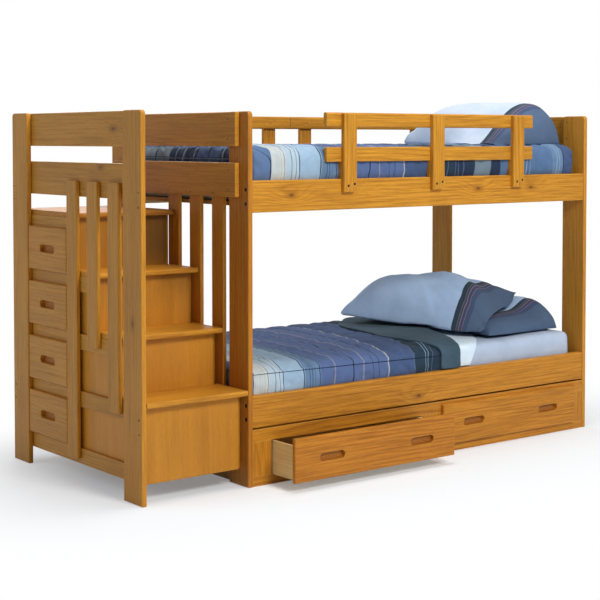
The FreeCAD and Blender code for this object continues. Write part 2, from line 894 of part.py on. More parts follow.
# ---------------------------------------------------------------- assembly
rear_post_y = bed_depth - post_w
guard_low_x = front_guard_x - front_guard_len / 2

nodes = {
    "stair_post_front": [stair_post(0, rail_bolt_y)],
    "stair_post_rear": [stair_post(rear_post_y, bed_depth - rail_bolt_y)],
    "bed_post_left_front": [bed_post(x_bed_out, 0)],
    "bed_post_left_rear": [bed_post(x_bed_out, rear_post_y)],
    "bed_post_right_front": [bed_post(x_right_in, 0)],
    "bed_post_right_rear": [bed_post(x_right_in, rear_post_y)],
    "upper_side_rail_front": [side_rail(upper_rail_z)],
    "upper_side_rail_rear": [rear_side_rail(upper_rail_z)],
    "lower_side_rail_front": [side_rail(lower_rail_z)],
    "lower_side_rail_rear": [rear_side_rail(lower_rail_z)],
    "stair_end_rails": end_rails(x_stair_in, (top_end_rail_z, mid_end_rail_z)),
    "bed_left_end_rails": end_rails(x_panel_out, (top_end_rail_z, mid_end_rail_z)),
    "bed_right_end_rails": end_rails(x_right_out, (top_end_rail_z, mid_end_rail_z,
                                                   lower_rail_z)),
    "stair_end_slats": end_slats(x_stair_in - end_slat_t),
    "bed_left_slats": end_slats(x_bed_out),
    "stair_outer_frame": stair_outer_frame(),
    "stair_side_panels": stair_side_panels(),
    "stair_inner_panel": [stair_inner_panel()],
    "stair_treads": stair_treads(),
    "stair_landing": [stair_landing()],
    "stair_risers": stair_risers(),
    "stair_back_panel": [stair_back_panel()],
    "stair_drawer_runners": stair_runners(),
    "underbed_face_frame": unit_face_frame(),
    "underbed_carcass": unit_carcass(),
    "underbed_runners": unit_runners(),
    "underbed_drawer_front_left": [unit_drawer_front(unit_open_x[0], left_drawer_open)],
    "underbed_drawer_box_left": unit_drawer_box(unit_open_x[0], left_drawer_open),
    "underbed_drawer_front_right": [unit_drawer_front(unit_open_x[1], 0)],
    "underbed_drawer_box_right": unit_drawer_box(unit_open_x[1], 0),
    "mattress_ledgers": ledgers(),
    "upper_bed_slats": bed_slats(upper_rail_z),
    "lower_bed_slats": bed_slats(lower_rail_z),
    "guard_front_rails": guard_rails(guard_low_x, front_guard_len, front_support_x),
    "guard_front_supports": [guard_support(middle) for middle in front_support_x],
    "guard_rear_rails": rear_guard_rails(),
    "guard_rear_supports": [mirror_rear(guard_support(middle))
                            for middle in rear_support_x],
    "guard_spacer_blocks": guard_blocks(),
    "side_rail_bolts": [rail_bolt(*place) for place in rail_bolt_places],
    "barrel_nuts": [barrel_nut(*place) for place in rail_bolt_places],
    "guard_bolts": guard_bolts(),
    "end_rail_screws": [screw(*place) for place in end_screw_places],
    "stair_screws": [screw(*place) for place in stair_screw_places],
    "guard_screws": guard_screws(),
    "upper_mattress": [mattress(upper_rail_z)],
    "lower_mattress": [mattress(lower_rail_z)],
    "upper_comforter": [upper_comforter()],
    "lower_comforter": [lower_comforter()],
    "lower_top_sheet": [lower_sheet()],
    "upper_pillow": [pillow(mattress_z(upper_rail_z) + mattress_t + upper_cover_t
                            + cover_play, upper_pillow_t)],
    "lower_pillow_under": [pillow(lower_pillow_z(), pillow_t)],
    "lower_pillow_top": [top_pillow()],
}
for drawer in range(step_count):
    nodes["stair_drawer_front_%d" % (drawer + 1)] = [stair_drawer_front(drawer)]
    nodes["stair_drawer_box_%d" % (drawer + 1)] = stair_drawer_box(drawer)

os.makedirs("parts", exist_ok=True)
for name, shapes in nodes.items():
    solids = [solid for shape in shapes for solid in shape.Solids]
    shape = solids[0] if len(solids) == 1 else Part.makeCompound(solids)
    shape = shape.copy()
    shape.translate(origin)
    shape.exportStep("parts/%s.step" % name)
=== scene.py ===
import bpy
import math
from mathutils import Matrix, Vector, noise


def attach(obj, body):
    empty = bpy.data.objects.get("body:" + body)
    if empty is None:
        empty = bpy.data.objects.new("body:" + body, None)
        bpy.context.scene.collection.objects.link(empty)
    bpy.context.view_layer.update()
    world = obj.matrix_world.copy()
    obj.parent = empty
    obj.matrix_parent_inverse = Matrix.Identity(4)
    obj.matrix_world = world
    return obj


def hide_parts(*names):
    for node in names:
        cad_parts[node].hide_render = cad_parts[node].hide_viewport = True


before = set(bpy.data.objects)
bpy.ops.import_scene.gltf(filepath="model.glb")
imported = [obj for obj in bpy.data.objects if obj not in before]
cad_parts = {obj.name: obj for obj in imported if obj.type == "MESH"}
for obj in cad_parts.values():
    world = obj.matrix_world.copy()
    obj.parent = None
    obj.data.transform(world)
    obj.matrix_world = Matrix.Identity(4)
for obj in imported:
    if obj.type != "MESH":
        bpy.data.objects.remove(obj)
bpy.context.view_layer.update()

# Sizes are written in the bed's own layout, in millimetres from the outer
# front bottom corner of the stair-end posts: X to the right, Y to the back.
ORIGIN = (-1278.0, -455.0, 0.0)
MM = 0.001
X, Y, Z = 0, 1, 2
WHITE = (1.0, 1.0, 1.0, 1.0)
BLACK = (0.0, 0.0, 0.0, 1.0)


def metres(mm, axis):
    """A place along one axis of the layout, in the frame's metres."""
    return (mm + ORIGIN[axis]) * MM


def place(x, y, z):
    return Vector((metres(x, X), metres(y, Y), metres(z, Z)))


def srgb(r, g, b):
    """A colour as it is seen, 0 to 255, made linear."""
    out = []
    for v in (r, g, b):
        c = v / 255.0
        out.append(c / 12.92 if c <= 0.04045 else ((c + 0.055) / 1.055) ** 2.4)
    return (out[0], out[1], out[2], 1.0)


def assign(thing, **values):
    for key, value in values.items():
        setattr(thing, key, value)
    return thing


# ---------- node materials
class Nodes:
    """A short hand for building one tree of nodes."""

    def __init__(self, tree):
        self.tree = tree
        self.tree.nodes.clear()

    def add(self, kind, **props):
        return assign(self.tree.nodes.new(kind), **props)

    def link(self, a, b):
        self.tree.links.new(a, b)

    def feed(self, socket, value):
        if isinstance(value, bpy.types.NodeSocket):
            self.link(value, socket)
        else:
            socket.default_value = value

    def math(self, op, a, b=0.0, c=0.0):
        node = self.add("ShaderNodeMath", operation=op)
        for socket, value in zip(node.inputs, (a, b, c)):
            self.feed(socket, value)
        return node.outputs[0]

    def plus(self, a, b):
        return self.math("ADD", a, b)

    def minus(self, a, b):
        return self.math("SUBTRACT", a, b)

    def times(self, a, b):
        return self.math("MULTIPLY", a, b)

    def below(self, a, b):
        return self.math("LESS_THAN", a, b)

    def split(self, vector):
        node = self.add("ShaderNodeSeparateXYZ")
        self.feed(node.inputs[0], vector)
        return node.outputs

    def join(self, x, y, z):
        node = self.add("ShaderNodeCombineXYZ")
        for socket, value in zip(node.inputs, (x, y, z)):
            self.feed(socket, value)
        return node.outputs[0]

    def noise(self, vector, scale=1.0, detail=2.0, rough=0.5):
        node = self.add("ShaderNodeTexNoise")
        self.feed(node.inputs["Vector"], vector)
        node.inputs["Scale"].default_value = scale
        node.inputs["Detail"].default_value = detail
        node.inputs["Roughness"].default_value = rough
        return node.outputs["Fac"]

    def voronoi(self, vector):
        node = self.add("ShaderNodeTexVoronoi")
        self.feed(node.inputs["Vector"], vector)
        node.inputs["Scale"].default_value = 1.0
        return node.outputs

    def ramp(self, value, stops, mode="LINEAR"):
        node = self.add("ShaderNodeValToRGB")
        band = node.color_ramp
        band.interpolation = mode
        while len(band.elements) < len(stops):
            band.elements.new(0.5)
        for element, (at, colour) in zip(band.elements, stops):
            element.position = at
            element.color = colour
        self.feed(node.inputs["Fac"], value)
        return node.outputs["Color"]

    def range(self, value, a0, a1, b0=0.0, b1=1.0, smooth=False):
        kind = "SMOOTHSTEP" if smooth else "LINEAR"
        node = self.add("ShaderNodeMapRange", interpolation_type=kind)
        for socket, number in zip(node.inputs, (value, a0, a1, b0, b1)):
            self.feed(socket, number)
        return node.outputs[0]

    def mix(self, fac, a, b, blend="MIX"):
        node = self.add("ShaderNodeMix", data_type="RGBA", blend_type=blend)
        self.feed(node.inputs["Factor"], fac)
        self.feed(node.inputs["A"], a)
        self.feed(node.inputs["B"], b)
        return node.outputs["Result"]

    def tint(self, colour, by):
        return self.mix(1.0, colour, by, "MULTIPLY")

    def scaled(self, vector, x, y, z):
        node = self.add("ShaderNodeVectorMath", operation="MULTIPLY")
        self.feed(node.inputs[0], vector)
        node.inputs[1].default_value = (x, y, z)
        return node.outputs[0]

    def bump(self, height, distance, strength=1.0, normal=None):
        node = self.add("ShaderNodeBump")
        node.inputs["Strength"].default_value = strength
        node.inputs["Distance"].default_value = distance
        self.feed(node.inputs["Height"], height)
        if normal is not None:
            self.link(normal, node.inputs["Normal"])
        return node.outputs["Normal"]

    def attribute(self, name):
        return self.add("ShaderNodeAttribute", attribute_name=name).outputs["Fac"]


class Shader(Nodes):
    """A material with one principled shader, and its coordinates in metres."""

    def __init__(self, name):
        self.mat = bpy.data.materials.new(name)
        self.mat.use_nodes = True
        super().__init__(self.mat.node_tree)
        self.out = self.add("ShaderNodeOutputMaterial")
        self.bsdf = self.add("ShaderNodeBsdfPrincipled")
        self.link(self.bsdf.outputs["BSDF"], self.out.inputs["Surface"])
        self.coords = self.add("ShaderNodeTexCoord").outputs["Object"]

    def set(self, **values):
        for key, value in values.items():
            self.feed(self.bsdf.inputs[key.replace("_", " ")], value)


# ---------- wood
# light, middle and dark of the growth rings, and knots
PINE = (srgb(216, 152, 50), srgb(198, 130, 32), srgb(134, 78, 18), srgb(92, 50, 16))
PALE = (srgb(226, 190, 130), srgb(212, 172, 112), srgb(176, 130, 76), srgb(110, 70, 40))
BIRCH = (srgb(230, 202, 140), srgb(218, 186, 124), srgb(194, 156, 98), srgb(150, 112, 74))
STAINED = (srgb(206, 142, 48), srgb(190, 124, 34), srgb(140, 84, 24), srgb(90, 50, 20))
# colour of the painted highlight on eased pine edges
PINE_EDGE_HIGHLIGHT = srgb(240, 186, 98)
SIDE_FACE_SHADE_AND_SHEEN = (0.80, 0.84, 1.1, 1.0)  # painted shade and sheen: duller and bluer on the broad faces of the ends
SATIN = 0.44  # roughness of the lacquer
RINGS = 46.0  # growth rings in a metre across the grain
RING_DRIFT, RING_WOBBLE, RING_SWIRL = 11.0, 1.1, 1.9  # rings that move: slowly, finely, at a knot
KNOT_ALONG, KNOT_ACROSS = 2.1, 4.4  # a knot is longer along the grain
NO_KNOT = 9.0
EDGE_RADIUS = 0.005
EDGE_FROM, EDGE_TO, EDGE_MOST = 0.99, 0.76, 0.75  # how far a normal turns, and the share of painted highlight it gives
XYZ = "XYZ"


def third_axis(grain, flat):
    """The index of the axis that runs across the grain, in the face of the board."""
    return [n for n, axis in enumerate(XYZ) if axis not in (grain, flat)][0]


def pine_colour(s, grain, flat, seed, tone, colours, knots, rings):
    """Boards that lie with their grain along one axis and are thin along another."""
    xyz = s.split(s.coords)
    on_grain, across = xyz[XYZ.index(grain)], xyz[third_axis(grain, flat)]
    along = s.plus(on_grain, seed * 0.61)
    wide = s.plus(across, seed * 0.37)
    thin = s.plus(xyz[XYZ.index(flat)], seed * 0.73)

    def grown(length, width, depth=None):
        return s.join(s.times(along, length), s.times(wide, width), s.times(thin, depth or width))

    light, mid, dark, knot = colours
    field = s.noise(grown(0.55, 4.6), 1.0, 1.3, 0.4)
    wobble = s.noise(grown(2.6, 26.0), 1.0, 2.0, 0.5)
    turns = s.math("MULTIPLY_ADD", field, RING_DRIFT, s.times(wide, RINGS))
    turns = s.math("MULTIPLY_ADD", wobble, RING_WOBBLE, turns)
    if isinstance(knots, list):
        some, gap = 1.0, NO_KNOT
        for a, w in knots:
            da = s.times(s.minus(on_grain, a), KNOT_ALONG)
            dw = s.times(s.minus(across, w), KNOT_ACROSS)
            far = s.math("SQRT", s.math("MULTIPLY_ADD", da, da, s.times(dw, dw)))
            gap = s.math("MINIMUM", gap, far)
    elif knots:
        cell = s.voronoi(grown(KNOT_ALONG, KNOT_ACROSS, 0.9))
        gap = cell["Distance"]
        some = s.math("GREATER_THAN", s.split(cell["Color"])[0], 1.0 - knots)
    if knots:
        swirl = s.times(s.range(gap, 0.02, 0.3, 1.0, 0.0, True), some)
        turns = s.math("MULTIPLY_ADD", swirl, RING_SWIRL, turns)
    phase = s.math("FRACT", turns)
    ring = s.ramp(phase, [(0.0, mid), (0.3, light), (0.66, mid), (0.88, dark), (1.0, mid)])
    base = s.mix(s.noise(grown(0.9, 5.0), 1.0, 2.0), mid, light)
    clear = s.range(s.noise(grown(1.0, 7.0), 1.0, 2.0), 0.35, 0.65, 0.14 * rings, 0.55 * rings)
    colour = s.mix(clear, base, ring)
    patch = s.noise(grown(1.6, 9.0), 1.0, 3.0, 0.55)
    colour = s.mix(s.range(patch, 0.45, 0.78, 0.0, 0.38), colour, dark)
    bright = s.noise(grown(2.4, 60.0), 1.0, 3.0, 0.6)
    colour = s.mix(s.range(bright, 0.48, 0.8, 0.0, 0.65), colour, light)
    streak = s.noise(grown(5.0, 150.0), 1.0, 3.0, 0.62)
    colour = s.mix(s.range(streak, 0.44, 0.76, 0.0, 0.72 * rings), colour, dark)
    pores = s.noise(grown(26.0, 520.0), 1.0, 2.0, 0.5)
    colour = s.mix(s.range(pores, 0.52, 0.82, 0.0, 0.5), colour, dark)
    if knots:
        halo = s.times(s.range(gap, 0.02, 0.12, 0.5, 0.0, True), some)
        colour = s.mix(halo, colour, dark)
        core = s.times(s.range(gap, 0.012, 0.04, 0.5 + 0.25 * rings, 0.0, True), some)
        colour = s.mix(core, colour, knot)
    if tone != 1.0:
        colour = s.tint(colour, (tone, tone * tone, tone * tone, 1.0))
    if flat == "X" and colours is PINE:
        # painted shade and sheen on the broad faces of the end boards, which turn to either side
        face = s.split(s.add("ShaderNodeNewGeometry").outputs["True Normal"])[X]
        broad = s.math("GREATER_THAN", s.math("ABSOLUTE", face), 0.7)
        colour = s.mix(broad, colour, s.tint(colour, SIDE_FACE_SHADE_AND_SHEEN))
    height = s.plus(s.times(streak, 0.7), s.times(pores, 0.3))
    return colour, height


def lacquer(s, colour, height, gloss, light=PINE_EDGE_HIGHLIGHT):
    """Boards with eased edges: the bevel rounds their shading, and their colour turns lighter there
    as a painted highlight.
    """
    edge = s.add("ShaderNodeBevel", samples=4)
    edge.inputs["Radius"].default_value = EDGE_RADIUS
    meet = s.add("ShaderNodeVectorMath", operation="DOT_PRODUCT")
    s.link(edge.outputs[0], meet.inputs[0])
    s.link(s.add("ShaderNodeNewGeometry").outputs["True Normal"], meet.inputs[1])
    # painted highlight: the colour turns toward the light colour on eased edges
    edge_highlight = s.range(meet.outputs["Value"], EDGE_FROM, EDGE_TO, 0.0, EDGE_MOST)
    colour = s.mix(edge_highlight, colour, light)
    s.set(Base_Color=colour, Roughness=s.range(height, 0.3, 0.7, gloss - 0.06, gloss + 0.08),
          Normal=s.bump(height, 0.0004, 0.5, edge.outputs[0]), Specular_IOR_Level=0.22)


made_woods = []


def wood_shader(name):
    """A material for wood, with a number that counts all of them."""
    s = Shader("%s_%d" % (name, len(made_woods)))
    made_woods.append(s.mat)
    return s


def pine(grain, flat, seed, tone=1.0, colours=PINE, gloss=SATIN, name="pine", knots=0.35,
         rings=1.0, front=None, dim=None):
    """front(s) is 1 where a box's own front shows through the finger slots, and is stained;
    dim(s) is a share by which the colour is darkened, as painted shade. Knots are a share
    of the cells of a pattern, or a list of places."""
    s = wood_shader(name)
    colour, height = pine_colour(s, grain, flat, seed, tone, colours, knots, rings)
    if front:
        stain = s.ramp(height, [(0.3, srgb(182, 116, 44)), (0.7, srgb(142, 86, 28))])
        colour = s.mix(front(s), colour, stain)
    # painted shade, by the share dim(s)
    if dim:
        colour = s.mix(dim(s), colour, BLACK)
    lacquer(s, colour, height, gloss, PINE_EDGE_HIGHLIGHT if colours is PINE else colours[0])
    return s.mat


def rings_on(flat):
    """Growth rings show less on the boards of the ends."""
    return 0.55 if flat == "X" else 1.0


def cross_pine(first, second, flat, seed, mask, tone=1.0):
    """A frame of boards of two directions. mask(s) is 1 where the second holds."""
    s = wood_shader("pine_frame")
    rings = rings_on(flat)
    colour_1, height_1 = pine_colour(s, first, flat, seed, tone, PINE, 0.3, rings)
    colour_2, height_2 = pine_colour(s, second, flat, seed + 3, tone, PINE, 0.3, rings)
    fac = mask(s)
    height = s.plus(s.times(height_1, s.minus(1.0, fac)), s.times(height_2, fac))
    lacquer(s, s.mix(fac, colour_1, colour_2), height, SATIN)
    return s.mat


def paint(material, *nodes):
    for name in nodes:
        mesh_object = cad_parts[name]
        if not mesh_object.material_slots:
            mesh_object.data.materials.append(material)
        for entry in mesh_object.material_slots:
            entry.material = material


def steel_material():
    s = Shader("dark_steel")
    speck = s.noise(s.coords, 900.0, 2.0)
    colour = s.ramp(speck, [(0.3, srgb(38, 33, 30)), (0.7, srgb(66, 58, 52))])
    s.set(Base_Color=colour, Roughness=s.range(speck, 0.3, 0.7, 0.32, 0.5),
          Metallic=0.9, Normal=s.bump(speck, 0.0002, 0.3))
    return s.mat


# ---------- fabric
THREAD = 0.0011  # metres from thread to thread
CLOTH_ROUGHNESS = 0.86


def weave(s):
    """Threads in both directions, as a height from 0 to 1."""
    x, y, z = s.split(s.coords)
    turn = 2.0 * math.pi / THREAD
    warp = s.math("SINE", s.times(x, turn))
    weft = s.math("SINE", s.times(s.plus(y, z), turn))
    return s.math("MULTIPLY_ADD", s.times(warp, weft), 0.5, 0.5)


def finish_cloth(s, colour, crease=0.0012, creases=26.0):
    """Threads, slubs and creases; crease is the depth of the creases in metres."""
    slub = s.noise(s.scaled(s.coords, 260.0, 700.0, 700.0), 1.0, 2.0, 0.6)
    mottle = s.noise(s.coords, 9.0, 4.0, 0.6)
    shade = s.times(s.range(slub, 0.3, 0.8, 1.04, 0.9), s.range(mottle, 0.3, 0.75, 1.03, 0.88))
    colour = s.tint(colour, s.join(shade, shade, shade))
    threads = s.bump(weave(s), 0.00012, 0.35)
    folds = s.bump(s.noise(s.coords, creases, 5.0, 0.62), crease, 0.7, threads)
    rough = s.range(slub, 0.2, 0.8, CLOTH_ROUGHNESS - 0.06, CLOTH_ROUGHNESS + 0.06)
    s.set(Base_Color=colour, Roughness=rough, Normal=folds, Specular_IOR_Level=0.12,
          Sheen_Weight=0.05, Sheen_Roughness=0.5)
    return s.mat


def fainter(colour, alpha):
    return colour[:3] + (alpha,)


CREAM = srgb(196, 204, 204)
PALE_BLUE = srgb(176, 196, 210)
LIGHT_BLUE = srgb(156, 184, 208)
STEEL_BLUE = srgb(104, 132, 165)
PERIWINKLE = srgb(90, 110, 154)
INDIGO = srgb(72, 92, 130)
NAVY = srgb(42, 56, 80)
TEAL = srgb(42, 60, 76)
GREY_BLUE = srgb(116, 134, 148)
MID_BLUE = srgb(88, 116, 154)
INK = fainter(srgb(22, 32, 56), 0.85)
THIN_INK = fainter(srgb(34, 48, 76), 0.6)
SAND = fainter(srgb(178, 172, 164), 0.5)
BRIGHT_SAND = fainter(srgb(186, 188, 186), 0.8)
ICE = fainter(srgb(150, 180, 204), 0.6)
DIM = fainter(srgb(112, 128, 150), 0.55)

# where each band of the print starts, in millimetres from the foot of the print
BANDS = [(-400, MID_BLUE), (18, CREAM), (90, PALE_BLUE), (170, LIGHT_BLUE),
         (277, STEEL_BLUE), (362, PERIWINKLE), (748, INDIGO), (902, TEAL),
         (1040, NAVY), (1167, GREY_BLUE), (1272, NAVY), (1337, MID_BLUE),
         (1700, STEEL_BLUE), (1775, INDIGO)]
# thin woven lines: place, width, colour
LINES_1 = [(49, 3, SAND), (59, 2, SAND), (72, 3, SAND), (89, 4, THIN_INK), (127, 4, THIN_INK),
           (151, 3, THIN_INK), (170, 5, INK), (277, 6, INK), (309, 3, THIN_INK),
           (321, 3, THIN_INK), (334, 3, THIN_INK), (362, 4, INK), (444, 5, SAND), (547, 5, INK)]
LINES_2 = [(606, 5, SAND), (659, 4, THIN_INK), (690, 4, THIN_INK), (748, 7, BRIGHT_SAND),
           (902, 4, DIM), (970, 4, ICE), (984, 4, ICE), (1010, 4, DIM), (1056, 4, DIM),
           (1079, 4, DIM), (1107, 4, DIM)]
LINES_3 = [(1518, 6, ICE), (1545, 6, ICE), (1733, 5, ICE), (1750, 4, ICE), (1775, 5, INK)]
# the crossing bands of the foot panel, in millimetres from the front of the bed
FOOT_BANDS = [(0, NAVY), (210, GREY_BLUE), (221, NAVY), (234, INDIGO), (308, NAVY), (318, INDIGO),
              (398, NAVY), (418, DIM), (428, NAVY), (500, GREY_BLUE), (512, NAVY),
              (562, GREY_BLUE), (572, NAVY), (620, GREY_BLUE), (728, NAVY), (738, GREY_BLUE),
              (900, INDIGO)]
PRINT_FROM = -400.0
PRINT_SPAN = 2400.0
LINE_MARGIN = 10.0
DRIFT = 0.014  # metres by which the bands wander
RIB = 0.006  # metres from rib to rib of the cloth
CROSS_PITCH, CROSS_WIDTH = 0.145, 0.022  # faint lines along the bed: metres, share of them
CROSS_MIDDLE, CROSS_HALF = 0.0855, 0.462  # where these lie across the bed, in metres
UPPER_START, LOWER_START = 611.0, 529.0  # layout place of the foot of each print

# the foot panel of the upper comforter, in layout millimetres and metres of height
PANEL_EDGE, PANEL_BEND = 629.0, -0.079
PANEL_LOW, PANEL_TOP = 1.315, 1.379
PANEL_WIDTH = 1080.0
PANEL_BLUE = srgb(96, 120, 158)
OVER_END = (540.0, 552.0)
SHADE_BELOW = 1.338
BAND_HEIGHT, BAND_HALF, PIPING_HALF = 1.331, 0.002, 0.0028
SEAM_PIPING = 2.4  # half the width of the piping along the lower seam, in millimetres


def woven_lines(s, x, start, lines):
    """A layer of thin lines, each layer on a scale of its own so that none is lost."""
    low, high = lines[0][0] - LINE_MARGIN, lines[-1][0] + LINE_MARGIN
    clear = (0.0, 0.0, 0.0, 0.0)
    stops = [(0.0, clear)]
    for at, width, colour in lines:
        stops.append(((at - width / 2 - low) / (high - low), colour))
        stops.append(((at + width / 2 - low) / (high - low), clear))
    along = s.range(x, metres(start + low, X), metres(start + high, X))
    return s.ramp(along, stops, "CONSTANT")


def near_line(s, value, half):
    """1 within half a line's width of zero."""
    return s.below(s.math("ABSOLUTE", value), half)


def foot_panel(s, colour, xyz):
    """The piped end panel at the foot, plaid where it turns down over the end."""
    x, y, z = xyz
    up = s.range(z, PANEL_LOW, PANEL_TOP)
    edge = s.math("MULTIPLY_ADD", s.times(up, up), PANEL_BEND, metres(PANEL_EDGE, X))
    past = s.minus(x, edge)
    colour = s.mix(s.below(past, 0.0), colour, PANEL_BLUE)
    wide = s.range(y, metres(0.0, Y), metres(PANEL_WIDTH, Y))
    plaid = s.ramp(wide, [(mm / PANEL_WIDTH, c) for mm, c in FOOT_BANDS], "CONSTANT")
    low = s.below(z, SHADE_BELOW)
    plaid = s.mix(s.times(low, 0.55), plaid, NAVY)
    band = near_line(s, s.minus(z, BAND_HEIGHT), BAND_HALF)
    plaid = s.mix(s.times(band, 0.6), plaid, GREY_BLUE)
    end = s.range(x, metres(OVER_END[0], X), metres(OVER_END[1], X), 1.0, 0.0)
    colour = s.mix(end, colour, plaid)
    return s.mix(s.times(near_line(s, past, PIPING_HALF), 0.9), colour, INK)


def striped(name, start, foot=False, painted_light_gain=1.0):
    """The comforters' print: bands across the bed, counted from start along it; the gain lightens a
    copy as painted light.
    """
    s = Shader(name)
    xyz = s.split(s.coords)
    drift = s.times(s.minus(s.noise(s.coords, 3.0, 2.0), 0.5), DRIFT)
    x = s.plus(s.attribute("print"), drift)
    at = s.range(x, metres(start + PRINT_FROM, X), metres(start + PRINT_FROM + PRINT_SPAN, X))
    stops = [((mm - PRINT_FROM) / PRINT_SPAN, c) for mm, c in BANDS]
    colour = s.ramp(at, stops, "CONSTANT")
    rib = s.math("SINE", s.times(x, 2.0 * math.pi / RIB))
    rib = s.range(rib, -1.0, 1.0, 0.93 * painted_light_gain, 1.06 * painted_light_gain)
    colour = s.tint(colour, s.join(rib, rib, rib))
    cross = s.math("FRACT", s.times(xyz[Y], 1.0 / CROSS_PITCH))
    cross = s.below(cross, CROSS_WIDTH)
    inner = near_line(s, s.minus(xyz[Y], CROSS_MIDDLE), CROSS_HALF)
    faint = s.times(s.times(cross, inner), 0.2)
    colour = s.mix(faint, colour, INK)
    for lines in (LINES_1, LINES_2, LINES_3):
        line = woven_lines(s, x, start, lines)
        colour = s.mix(line.node.outputs["Alpha"], colour, line)
    if foot:
        colour = foot_panel(s, colour, xyz)
    piping = near_line(s, s.attribute("seam"), SEAM_PIPING)
    colour = s.mix(s.times(piping, 0.85), colour, INK)
    return finish_cloth(s, colour, 0.003, 34.0)


def uneven(s, scale, light, dark):
    """A plain dye that has taken a little unevenly."""
    shade = s.noise(s.coords, scale, 3.0)
    return s.mix(s.range(shade, 0.35, 0.7), light, dark)


def plain_cloth(name, light, dark, crease=0.0012):
    s = Shader(name)
    return finish_cloth(s, uneven(s, 5.0, light, dark), crease)


# ---------- meshes
def shade_smooth(mesh):
    mesh.polygons.foreach_set("use_smooth", [True] * len(mesh.polygons))


def linked(name, data):
    thing = bpy.data.objects.new(name, data)
    bpy.context.scene.collection.objects.link(thing)
    return thing


def add_object(name, verts, faces, material, body="bed"):
    mesh = bpy.data.meshes.new(name)
    mesh.from_pydata([tuple(v) for v in verts], [], faces)
    mesh.validate()
    mesh.update()
    piece = linked(name, mesh)
    mesh.materials.append(material)
    shade_smooth(mesh)
    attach(piece, body)
    return piece


def apply_modifier(piece, kind, **settings):
    assign(piece.modifiers.new(kind.title(), kind), **settings)
    bpy.context.view_layer.update()
    graph = bpy.context.evaluated_depsgraph_get()
    mesh = bpy.data.meshes.new_from_object(piece.evaluated_get(graph))
    old = piece.data
    piece.modifiers.clear()
    piece.data = mesh
    mesh.name = old.name
    shade_smooth(mesh)
    bpy.data.meshes.remove(old)


def subdivide(piece):
    apply_modifier(piece, "SUBSURF", levels=1, render_levels=1)


def mark_points(piece, name, values):
    """Write one number for each point, for the materials to read."""
    piece.data.attributes.new(name, "FLOAT", "POINT").data.foreach_set("value", values)


def smooth_step(t, a, b):
    t = min(1.0, max(0.0, (t - a) / (b - a)))
    return t * t * (3.0 - 2.0 * t)


def round_box(lo, hi, radius, cell):
    """A closed box with rounded edges, finely divided, in layout millimetres."""
    verts = {}
    faces = []
    counts = [max(2, round((hi[i] - lo[i]) / cell)) for i in range(3)]

    def vert(i, j, k):
        key = (i, j, k)
        if key not in verts:
            raw = [lo[n] + (hi[n] - lo[n]) * v / counts[n] for n, v in enumerate(key)]
            core = [min(max(raw[n], lo[n] + radius), hi[n] - radius) for n in range(3)]
            away = Vector([raw[n] - core[n] for n in range(3)])
            if away.length > 1e-9:
                away = away.normalized() * radius
            verts[key] = (len(verts), Vector(core) + away)
        return verts[key][0]

    for axis in range(3):
        j, k = [n for n in range(3) if n != axis]
        for side in (0, counts[axis]):
            for a in range(counts[j]):
                for b in range(counts[k]):
                    quad = []
                    for da, db in ((0, 0), (1, 0), (1, 1), (0, 1)):
                        key = [0, 0, 0]
                        key[axis], key[j], key[k] = side, a + da, b + db
                        quad.append(vert(*key))
                    if (side == 0) == (axis != 1):
                        quad.reverse()
                    faces.append(quad)
    return [v for _, v in sorted(verts.values(), key=lambda e: e[0])], faces


def puff(p, size, seed):
    """Smooth noise from about -1 to 1 at a layout point."""
    return noise.noise(Vector((p.x / size + seed, p.y / size - seed, p.z / size)))


def ridge(p, size, seed):
    return 1.0 - 2.0 * abs(puff(p, size, seed))


# ---------- paint the timber
# heights in metres
STAIR_RAIL_FROM, STAIR_RISE, STAIR_RAIL_HEIGHT = 0.074, 0.237, 0.0642
STILE_FROM, STILE_TO = 0.0402, 0.1818
# heights between which the painted shade at the top of the stairs grows
SHADE_FROM, SHADE_TO = 0.66, 0.96
# where the painted shade beside the bed starts and is full, in metres along the bed
PAINTED_SHADE_X_FROM, PAINTED_SHADE_X_TO = -0.985, -0.915


def in_stair_rail(s):
    """1 on the rails of the stairs' outer frame, of which there is one to each step."""
    z = s.split(s.coords)[Z]
    level = s.math("FLOORED_MODULO", s.minus(z, STAIR_RAIL_FROM), STAIR_RISE)
    return s.below(level, STAIR_RAIL_HEIGHT)


def in_face_stile(s):
    """1 between the upper and the lower rail of the face frame under the bed."""
    z = s.split(s.coords)[Z]
    return s.times(s.below(STILE_FROM, z), s.below(z, STILE_TO))


def box_front(axis, edge):
    """1 on the near side of a plane, in layout millimetres."""
    return lambda s: s.below(s.split(s.coords)[axis], metres(edge, axis))


def painted_shade_under_bunk(most):
    """Painted shade, darker by up to this share, at the top of the stairs beside the bed."""
    def dim(s):
        xyz = s.split(s.coords)
        deep = s.range(xyz[X], PAINTED_SHADE_X_FROM, PAINTED_SHADE_X_TO, 0.4, 1.0, True)
        return s.times(deep, s.range(xyz[Z], SHADE_FROM, SHADE_TO, 0.0, most, True))

    return dim


